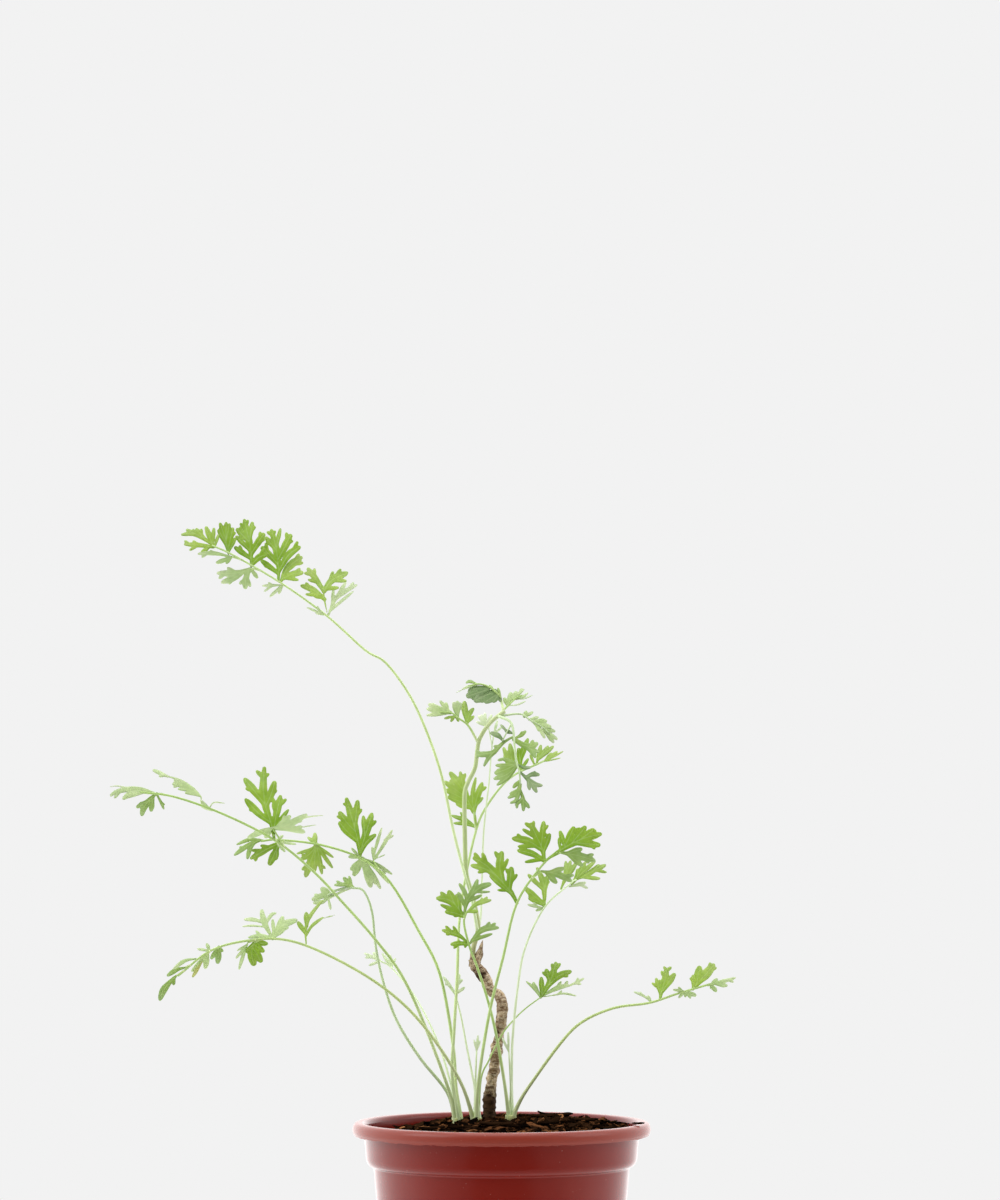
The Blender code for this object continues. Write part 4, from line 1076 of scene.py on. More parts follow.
# ---------------------------------------------------------------- the other pieces
@dataclass
class Pot:
    """Nursery pot with a rolled lip, a straight collar, a step and a tapering wall."""

    height: float = 112.0
    rim: float = 65.0
    collar: float = 60.0
    lip: float = 5.6
    collar_height: float = 11.4
    step: float = 2.8
    step_in: float = 3.2
    wall: float = 1.1
    floor: float = 1.6
    taper: float = 0.084
    flash: float = 0.75
    segments: int = 240

    def inner(self, height: float) -> float:
        """Radius of the inner wall at a height."""
        shoulder = self.height - self.lip - self.collar_height
        base = self.collar - 1.0 - self.wall
        if height >= shoulder:
            return base
        if height >= shoulder - self.step:
            return base - (shoulder - height) / self.step * self.step_in
        return base - self.step_in - self.taper * (shoulder - self.step - height)

    def profile(self) -> list[Point2]:
        """The pot's section, from the middle of its underside round to the middle of its floor."""
        top, lip = self.height, self.height - self.lip
        shoulder = lip - self.collar_height
        wall_top = shoulder - self.step
        rim, collar, wall = self.rim, self.collar, self.wall
        corners = [
            (0, 0), (self.inner(0) + wall - 1.4, 0), (self.inner(1.4) + wall, 1.4),
            (self.inner(wall_top) + wall, wall_top), (self.inner(wall_top) + wall + 2.0, wall_top + 0.9),
            (collar - 1.0, shoulder), (collar, lip),
            (rim - 2.2, lip + 0.05), (rim - 1.6, lip), (rim - 1.05, lip - self.flash), (rim - 0.75, lip - self.flash),
            (rim - 0.6, lip + 0.2), (rim, lip + 1.2), (rim, top - 2.2), (rim - 0.9, top - 0.6), (rim - 2.4, top),
            (collar - wall + 1.4, top - 0.3), (collar - wall + 0.3, top - 1.6), (collar - wall, lip),
            (self.inner(shoulder), shoulder), (self.inner(wall_top), wall_top), (self.inner(self.floor), self.floor),
            (0, self.floor)]
        reach = [0, 0.6, 0.8, 0.7, 0.9, 1.3, 0.5, 0.4, 0.2, 0.1, 0.1, 0.3, 1.4, 1.3, 0.8, 1.0, 0.8, 0.7, 0.7, 0.9,
                 0.9, 0.7, 0]
        points = [Vector(c) for c in corners]
        section = [points[0]]
        for k in range(1, len(points) - 1):
            before, at, after = points[k - 1], points[k], points[k + 1]
            one = at + (before - at).normalized() * min(reach[k], 0.45 * (before - at).length)
            two = at + (after - at).normalized() * min(reach[k], 0.45 * (after - at).length)
            section += [(1 - t) ** 2 * one + 2 * t * (1 - t) * at + t * t * two for t in (0, 0.33, 0.67, 1)]
        return [(p.x, p.y) for p in [*section, points[-1]]]

    def irregular(self, profile: list[Point2]) -> Callable[[float, int], Point2]:
        """Returns how the moulding flash and the wall's slight waviness change each ring."""
        low = self.height - self.lip

        def change(bearing: float, index: int) -> Point2:
            radius, height = profile[index]
            x, y = math.cos(bearing), math.sin(bearing)
            wave = 0.10 * noise.noise(Vector((x * 1.5, y * 1.5, height * 0.03))) if radius > 20 else 0.0
            if radius > self.collar + 2 and height < low - 0.02:
                rough = 0.5 + 0.5 * noise.noise(Vector((x * 9, y * 9, 3.1))) + 0.5 * noise.noise(
                    Vector((x * 40, y * 40, 1.7)))
                left = 0.55 + 0.45 * max(0.0, math.cos(bearing + 2.3))
                keep = min(1.0, max(0.05, rough * left))
                return wave, (low - height) * (1 - keep)
            return wave, 0.0

        return change

    def build(self, finishes: Finishes) -> Item:
        """Makes the pot with its drain holes."""
        profile = self.profile()
        body = lathe(profile, self.segments, self.irregular(profile))
        body.transform(Matrix.Scale(MM, 4))
        mesh = bpy.data.meshes.new("pot_look")
        body.to_mesh(mesh)
        body.free()
        made = new_object("pot_look", mesh)
        cutters = []
        for k in range(6):
            bearing = math.pi / 3 * (k + 0.5)
            hole = bmesh.new()
            bmesh.ops.create_cone(hole, cap_ends=True, segments=32, radius1=0.004, radius2=0.004, depth=0.01,
                                  matrix=Matrix.Translation((0.03 * math.cos(bearing), 0.03 * math.sin(bearing), 0)))
            cutter_mesh = bpy.data.meshes.new("hole")
            hole.to_mesh(cutter_mesh)
            hole.free()
            cutters.append(new_object(f"hole_{k}", cutter_mesh))
            cut = made.modifiers.new("hole", "BOOLEAN")
            cut.operation, cut.object, cut.solver = "DIFFERENCE", cutters[-1], "EXACT"
        bpy.context.view_layer.update()
        result = bpy.data.meshes.new_from_object(made.evaluated_get(bpy.context.evaluated_depsgraph_get()))
        made.modifiers.clear()
        made.data = result
        for cutter in cutters:
            bpy.data.objects.remove(cutter, do_unlink=True)
        result.polygons.foreach_set("use_smooth", [True] * len(result.polygons))
        co = np.empty(len(result.vertices) * 3)
        result.vertices.foreach_get("co", co)
        x, y, z = co.reshape(-1, 3).T / MM
        radius = np.hypot(x, y)
        low = self.height - self.lip
        set_values(result, "lip", ((radius > self.collar + 0.8) & (z > low - 1)).astype(float))
        set_values(result, "inner", ((radius < self.collar - 0.6) & (z > self.floor + 1)
                                     & (radius < np.array([self.inner(h) + 0.5 for h in z]))).astype(float))
        dress(made, [finishes.plastic], ["pot"])
        return made


@dataclass
class Soil:
    """Mounded compost with bark flakes strewn over it."""

    pot: Pot
    drop: float = 5.0
    mound: float = 6.0
    lean: float = 1.6
    gap: float = 0.3
    segments: int = 150

    def edge(self) -> float:
        """Radius of the soil where it meets the collar's inside."""
        return self.pot.inner(self.pot.height - self.pot.lip) - self.gap - 0.2

    def top(self, x: float, y: float) -> float:
        """Height of the soil at a place."""
        out = min(1.0, math.hypot(x - 4, y) / self.edge())
        return self.pot.height - self.drop + self.mound * (1 - out**2) + self.lean * x / self.edge()

    def rough_top(self, x: float, y: float) -> float:
        """Height of the soil with its clods."""
        lump = noise.noise(Vector((x * 0.11, y * 0.11, 0.4))) * 0.9
        clod = noise.noise(Vector((x * 0.45, y * 0.45, 5.2))) * 0.7 + noise.noise(Vector((x, y, 2.2))) * 0.35
        fade = min(1.0, max(0.0, (self.edge() - math.hypot(x, y)) / 6))
        return self.top(x, y) - 0.5 + (lump + clod) * (0.35 + 0.65 * fade)

    def surface(self, inset: float, rings: int, segments: int) -> tuple[np.ndarray, Faces]:
        """The soil's top as points in millimetres and faces.

        Args:
            inset: Distance kept from the soil's edge.
            rings: Rings from the middle out.
            segments: Points round each ring.

        Returns:
            The points and faces.
        """
        points, faces = [(0.0, 0.0, self.rough_top(0, 0))], []
        for r in range(1, rings + 1):
            radius = (self.edge() - inset) * r / rings
            for k in range(segments):
                a = 2 * math.pi * k / segments
                x, y = radius * math.cos(a), radius * math.sin(a)
                points.append((x, y, self.rough_top(x, y)))
        for k in range(segments):
            n = (k + 1) % segments
            faces.append([0, 1 + k, 1 + n])
            for r in range(rings - 1):
                a, b = 1 + r * segments, 1 + (r + 1) * segments
                faces.append([a + k, b + k, b + n, a + n])
        return np.array(points), faces

    def build(self, scatter: FlakeScatter, finishes: Finishes) -> None:
        """Makes the compost and three grades of bark flakes."""
        rings = 62
        points, faces = self.surface(0.0, rings, self.segments)
        shoulder = self.pot.height - self.pot.lip - self.pot.collar_height
        low = shoulder - self.pot.step
        last = 1 + (rings - 1) * self.segments
        for radius, height in ((self.edge(), shoulder + 0.4), (self.pot.inner(low) - 0.4, low + 0.3),
                               (self.pot.inner(1.9) - 0.4, 1.9)):
            turns = [2 * math.pi * k / self.segments for k in range(self.segments)]
            ring = [(radius * math.cos(a), radius * math.sin(a), height) for a in turns]
            start = len(points)
            points = np.vstack([points, ring])
            for k in range(self.segments):
                n = (k + 1) % self.segments
                faces.append([start + k, start + n, last + n, last + k])
            last = start
        faces.append([last + k for k in reversed(range(self.segments))])
        made = new_object("soil_look", mesh_of("soil_look", points, faces))
        dress(made, [finishes.compost], ["soil"])
        grades = [("long_flakes", 5.0, 0.0036, (0.0105, 0.0026, 0.0009), 0.40, 1.15, 0.30, 0.0007, 0.0022, 3, True),
                  ("long_flakes_tan", 5.0, 0.0085, (0.0085, 0.0026, 0.0008), 0.4, 1.1, 0.34, 0.0012, 0.0020, 8, False),
                  ("short_flakes", 2.5, 0.0019, (0.0052, 0.0016, 0.0007), 0.35, 1.2, 0.42, 0.0004, 0.0016, 5, True),
                  ("crumbs", 1.2, 0.00125, (0.0021, 0.0011, 0.0007), 0.4, 1.2, 0.6, 0.0002, 0.0010, 6, True)]
        for name, inset, spacing, size, least, most, tilt, lift, rough, seed, dark in grades:
            base = mesh_of("ground", *self.surface(inset, 40, 120))
            result = scatter.run(base, {
                "Spacing": spacing, "Density": 0.9 / spacing**2, "Flake Size": size, "Smallest": least, "Largest": most,
                "Tilt": tilt, "Lift": lift, "Roughness": rough, "Along": (1.0, 0.25, 0.0), "Free Turn": 2.4,
                "Seed": seed, "Finish": finishes.dark_bark if dark else finishes.tan_bark})
            dress(new_object(name, result), [], [])


@dataclass
class Splinters:
    """The larger bark chips and the chip on the rim, each in its own place."""

    soil: Soil
    chips: dict[str, tuple]

    def build(self, finishes: Finishes) -> None:
        """Makes a split, fibrous chip for each named place."""
        for number, (name, (x, y, bearing, length, width, thick)) in enumerate(self.chips.items()):
            top = self.soil.top(x, y) + 0.5
            turn = Matrix.Translation((x, y, top)) @ Matrix.Rotation(math.radians(bearing), 4, "Z")
            self.chip(name, turn, length, width, thick, number, finishes.tan_bark if number in (1, 3) else
                      finishes.dark_bark)
        a = math.radians(-19.0)
        spot = Matrix.Translation((62.6 * math.cos(a), 62.6 * math.sin(a), 112.35)) @ Matrix.Rotation(a + 0.5, 4, "Z")
        self.chip("chip_on_rim", spot, 5.2, 1.6, 0.9, 40, finishes.dark_bark)

    def chip(self, name: str, place: Matrix, length: float, width: float, thick: float, seed: int,
             finish: Material) -> None:
        """Makes one chip: a flat flake with ragged long edges and a fibrous face."""
        cols, rows = 22, 7
        points = []
        for side in (-1, 1):
            for i in range(cols):
                t = i / (cols - 1) * 2 - 1
                span = (1 - abs(t) ** 2.6) ** 0.6 * (1 + 0.35 * wobble(seed + 0.3, t * 3))
                for j in range(rows):
                    w = j / (rows - 1) * 2 - 1
                    ragged = 0.10 * length * wobble(seed + 2.0 + 0.7 * j, w) * abs(t) ** 3
                    ridge = 0.35 * noise.noise(Vector((t * 2, w * 5 + seed, side)))
                    rise = 0.5 * thick * side * (1 - 0.7 * abs(w) ** 3) * (1 - 0.6 * abs(t) ** 4) + ridge * thick * 0.6
                    curl = 0.06 * length * t * t * (0.5 + wobble(seed + 9.0, 1.0))
                    points.append(place @ Vector((t * length / 2 + ragged, w * width / 2 * max(span, 0.12) +
                                                  0.4 * wobble(seed, t * 2), rise + curl + thick * 0.5)))
        mesh = mesh_of(f"{name}_look", np.array(points), shell_faces(cols, rows))
        set_values(mesh, "tone", [0.45 + 0.4 * wobble(seed, 5.0)] * len(mesh.vertices))
        dress(new_object(f"{name}_look", mesh), [finish], [name])


@dataclass
class WoodyStem:
    """Old stem with flaking bark, knots and a papery dead top."""

    route: Sequence[tuple[float, float, float, float]]
    sides: int = 30
    per_span: int = 16

    def build(self, grower: StalkGrower, finishes: Finishes) -> None:
        """Makes the stem, its bark flakes and papery top as one piece."""
        line = smooth_route([plant_point(x, y, z) for x, y, z, _ in self.route], self.per_span)
        widths = np.interp(np.linspace(0, len(self.route) - 1, len(line)), range(len(self.route)),
                           [w for *_, w in self.route])
        points, uvs, dirt = [], [], []
        side, way = None, 0.0
        for i, point in enumerate(line):
            ahead = (line[min(i + 1, len(line) - 1)] - line[max(i - 1, 0)]).normalized()
            side = side or Vector((1, 0, 0))
            side = (side - ahead * side.dot(ahead)).normalized()
            across = ahead.cross(side)
            way += (point - line[i - 1]).length if i else 0.0
            for k in range(self.sides):
                a = 2 * math.pi * k / self.sides
                u, v = math.cos(a + way * 0.03), math.sin(a + way * 0.03)
                fibre = noise.noise(Vector((u * 2.6, v * 2.6, way * 0.07)))
                flake = noise.noise(Vector((u * 1.5, v * 1.5, way * 0.42 + 7)))
                crack = noise.noise(Vector((u * 6, v * 6, way * 0.5 + 3)))
                swell = widths[i] / 2 * (1 + 0.14 * fibre + 0.16 * flake + 0.15 * crack)
                swell += 0.25 * max(0.0, flake) ** 2 * 3
                points.append(point + (side * math.cos(a) + across * math.sin(a)) * swell)
                uvs.append((k / self.sides, way / 20))
                dirt.append(self.dirt(point.z, a))
        faces = tube_faces(len(line), self.sides)
        self.add_papers(points, faces, uvs, dirt)
        mesh = mesh_of("woody_stem_look", np.array([tuple(p) for p in points]), faces)
        grain = mesh.uv_layers.new(name="grain")
        for loop in mesh.loops:
            grain.data[loop.index].uv = uvs[loop.vertex_index]
        set_values(mesh, "dirt", dirt)
        dress(new_object("woody_stem_look", mesh), [finishes.stem], ["woody_stem"])

    @staticmethod
    def dirt(height: float, bearing: float) -> float:
        """How dark the bark is at a height: darker at the foot and in two bands, near 150.5 and 176, that change round
        the stem.
        """
        foot = min(1.0, max(0.0, (127 - height) / 5))
        scar = 0.75 * math.exp(-((height - 150.5) / 3.2) ** 2) + 0.7 * math.exp(-((height - 176) / 4.5) ** 2)
        return max(foot, scar * (0.6 + 0.5 * math.sin(bearing + height * 0.2)))

    def add_papers(self, points: list[Vector], faces: Faces, uvs: list[Point2], dirt: list[float]) -> None:
        """Adds thin curled bark papers: base, tip, width and how far each curls."""
        papers = [
            ((-11.2, 8.5, 179.0), (-8.2, 7.0, 191.2), 4.4, 1.2), ((-13.4, 7.0, 179.5), (-12.9, 6.4, 187.4), 2.4, 0.7),
            ((-10.4, 6.4, 178.0), (-8.8, 5.6, 186.6), 2.0, 0.5), ((0.8, 5.4, 157.0), (2.6, 4.8, 163.2), 1.8, 0.4),
            ((-2.2, 4.6, 144.0), (-1.4, 4.2, 150.4), 1.6, 0.4), ((-5.8, 4.4, 124.0), (-6.8, 3.8, 128.4), 2.2, 0.5),
            ((-3.4, 4.6, 122.8), (-2.6, 4.2, 127.2), 1.8, 0.4), ((-6.0, 5.0, 167.2), (-8.6, 4.6, 171.0), 1.4, 0.4)]
        for number, (low, high, width, curl) in enumerate(papers):
            start, end = plant_point(*low), plant_point(*high)
            rows, cols, base = 14, 7, len(points)
            ahead = (end - start).normalized()
            aside = ahead.cross(Vector((0, 1, 0))).normalized()
            for layer in (0.0, 0.14):
                for i in range(rows):
                    t = i / (rows - 1)
                    wide = width * (1 - t**2.2) * (0.8 + 0.3 * wobble(number + 1.0, t * 4)) + 0.12
                    for j in range(cols):
                        w = j / (cols - 1) * 2 - 1
                        ragged = 0.9 * wobble(number + 3.0 + j * 0.9, t * 2) * t
                        spot = start.lerp(end, t) + aside * (w * wide / 2) + ahead * ragged
                        spot.y += curl * (1 - w * w) * -1.2 + layer - curl * t * t * 1.5
                        points.append(spot)
                        uvs.append((w * 0.2, t * 0.4 + number))
                        dirt.append(0.02 + 0.2 * (1 - t))
            faces += shell_faces(rows, cols, base)


@dataclass
class Crown:
    """Rooted base of a tuft of leaves: a short ribbed neck."""

    name: str
    x: float
    y: float
    top: float
    width: float = 4.6

    def build(self, finishes: Finishes) -> None:
        """Makes the crown."""
        whole = Gathering()
        rings, sides = 22, 26
        points, tints = [], []
        low_tint, high_tint = np.array(paint("8C7B52")), np.array(paint("B9C57F"))
        for i in range(rings):
            t = i / (rings - 1)
            height = self.top - 8 + 9.5 * t
            for k in range(sides):
                a = 2 * math.pi * k / sides
                rough = noise.noise(Vector((math.cos(a) * 3, math.sin(a) * 3, t * 5)))
                rib = 0.10 * math.cos(5 * a + 3 * t) + 0.05 * rough
                radius = self.width / 2 * (0.62 + 0.55 * t - 0.9 * max(0.0, t - 0.82) ** 1.0) * (1 + rib)
                points.append((self.x + radius * math.cos(a), self.y + radius * math.sin(a), height))
                share = min(1.0, max(0.0, (t - 0.66) / 0.34 + 0.15 * math.cos(3 * a)))
                tints.append(low_tint * (1 - share) + high_tint * share)
        whole.add(np.array(points), tube_faces(rings, sides), np.array(tints), np.full(len(points), 9.0), 0)
        dress(whole.make(f"{self.name}_look", [finishes.stalk]), [], [self.name])


@dataclass
class Studio:
    """Pale floor, even surroundings, soft lights and the camera."""

    camera_at: Point3 = (-0.0007, -3.0, 0.3394)
    lens: float = 206.4
    backdrop: Backdrop = field(default_factory=Backdrop)

    def build(self) -> None:
        """Puts the studio in place."""
        mesh = bpy.data.meshes.new("floor")
        far = 60.0
        mesh.from_pydata([(-far, -far, -0.0005), (far, -far, -0.0005), (far, far, -0.0005), (-far, far, -0.0005)], [],
                         [(0, 1, 2, 3)])
        floor = new_object("floor", mesh)
        mesh.materials.append(self.backdrop.build())
        floor.visible_glossy = False
        self.surroundings()
        data = bpy.data.cameras.new("camera")
        data.lens, data.sensor_width, data.clip_end = self.lens, 36.0, 200.0
        camera = bpy.data.objects.new("camera", data)
        camera.location, camera.rotation_euler = self.camera_at, (math.pi / 2, 0, 0)
        bpy.context.scene.collection.objects.link(camera)
        bpy.context.scene.camera = camera
        bpy.context.scene.view_settings.view_transform = "Standard"
        self.soft_light("left", (-1.1, -0.5, 1.0), 0.9, 7.0)
        self.soft_light("right", (1.2, -0.3, 0.9), 0.9, 4.0)
        self.soft_light("top", (0.0, -0.2, 1.6), 1.2, 7.0)

    def soft_light(self, name: str, place: Point3, size: float, power: float) -> None:
        """Adds a soft square light aimed at the plant."""
        data = bpy.data.lights.new(name, "AREA")
        data.size, data.energy = size, power
        light = bpy.data.objects.new(name, data)
        light.location = place
        light.rotation_euler = (Vector((0, 0, 0.18)) - Vector(place)).to_track_quat("-Z", "Y").to_euler()
        bpy.context.scene.collection.objects.link(light)

    def surroundings(self) -> None:
        """Even pale background; the light that reaches the plant is bright behind and dark towards the front."""
        world = bpy.data.worlds.new("studio")
        bpy.context.scene.world = world
        world.use_nodes = True
        tree = Tree(world.node_tree)
        way = tree.add("ShaderNodeTexCoord").outputs["Generated"]
        parts = tree.add("ShaderNodeSeparateXYZ", Vector=way).outputs
        front = tree.times(parts[1], -1.0)
        level = tree.add("ShaderNodeMapRange", Value=front, From_Min=-1.0, From_Max=1.0).outputs[0]
        stops = ((0, 2.1), (0.48, 1.75), (0.72, 0.95), (0.86, 0.5), (0.895, 0.38), (0.925, 0.03), (1, 0.02))
        glow = tree.ramp(level, [(place, (light,) * 3) for place, light in stops])
        side = tree.maths("SUBTRACT", 1.0, tree.times(parts[0], 0.16))
        strength = tree.plus(side, tree.times(parts[2], 0.1))
        lit = tree.add("ShaderNodeBackground", Color=glow, Strength=strength)
        seen = tree.add("ShaderNodeBackground", Color=(0.888, 0.888, 0.888, 1), Strength=1.0)
        eye = tree.add("ShaderNodeLightPath").outputs["Is Camera Ray"]
        both = tree.add("ShaderNodeMixShader", Fac=eye, in1=lit.outputs[0], in2=seen.outputs[0])
        tree.tree.links.new(both.outputs[0], tree.tree.nodes["World Output"].inputs[0])


# ---------------------------------------------------------------- places
def shifted(x: float, z: float, lean_x: float, lean_z: float, tone: Tone, lobes: Sequence[tuple]) -> tuple:
    """Turns a blade whose lobes are placed from the pot's axis and underside into steps from its base."""
    moved = [(half, *([v - (x, z)[k % 2] for k, v in enumerate(steps)] for steps in rest)) for half, *rest in lobes]
    return x, z, lean_x, lean_z, tone, moved


YOUNG = 0.75
BRIGHT, FRESH, MID, SILVER, PALE, FAINT, DARK, YELLOW = Tone
CROWNS = {"left": (-19.2, 4.0), "middle": (-10.9, -4.0), "right": (4.1, -2.0)}

# Woody stem: x, y, z, thickness.
WOOD = [(-5.4, 7, 106, 6.4), (-5.5, 7, 116.2, 5.2), (-5.1, 7, 121.4, 5.2), (-4.6, 7.4, 126.9, 4.4),
        (-3.6, 7, 133.2, 4.6), (-2.9, 6.6, 138.4, 4.1), (-2, 7, 145.4, 4.4), (-0.7, 7.4, 150.6, 3.4),
        (-0.3, 7.6, 155.8, 4.8), (0.3, 7.4, 161.1, 5.0), (-0.4, 7, 165.9, 4.6), (-2.6, 7, 168.1, 3.9),
        (-4.6, 7.2, 169.3, 3.6), (-6.2, 7.6, 172.6, 4.4), (-9, 8, 177, 4.8), (-12, 8, 180.3, 4.1),
        (-12.9, 8, 182.9, 3.0)]
SHOOT = [(-12.6, 8, 184.9), (-12, 8, 189), (-10.3, 8, 195.5), (-11.2, 8, 203.4), (-13.8, 8, 213.8),
         (-15.5, 8, 220.8), (-16, 8, 236.1), (-16.2, 8, 247.4), (-16, 8, 255.7), (-14.6, 8, 260),
         (-11.6, 8, 266.2), (-10.7, 8, 273.1), (-9.9, 8, 277.9), (-7.7, 8, 282.3), (-4.6, 8, 286.2),
         (-1.6, 8, 288.8), (1.5, 8, 291)]

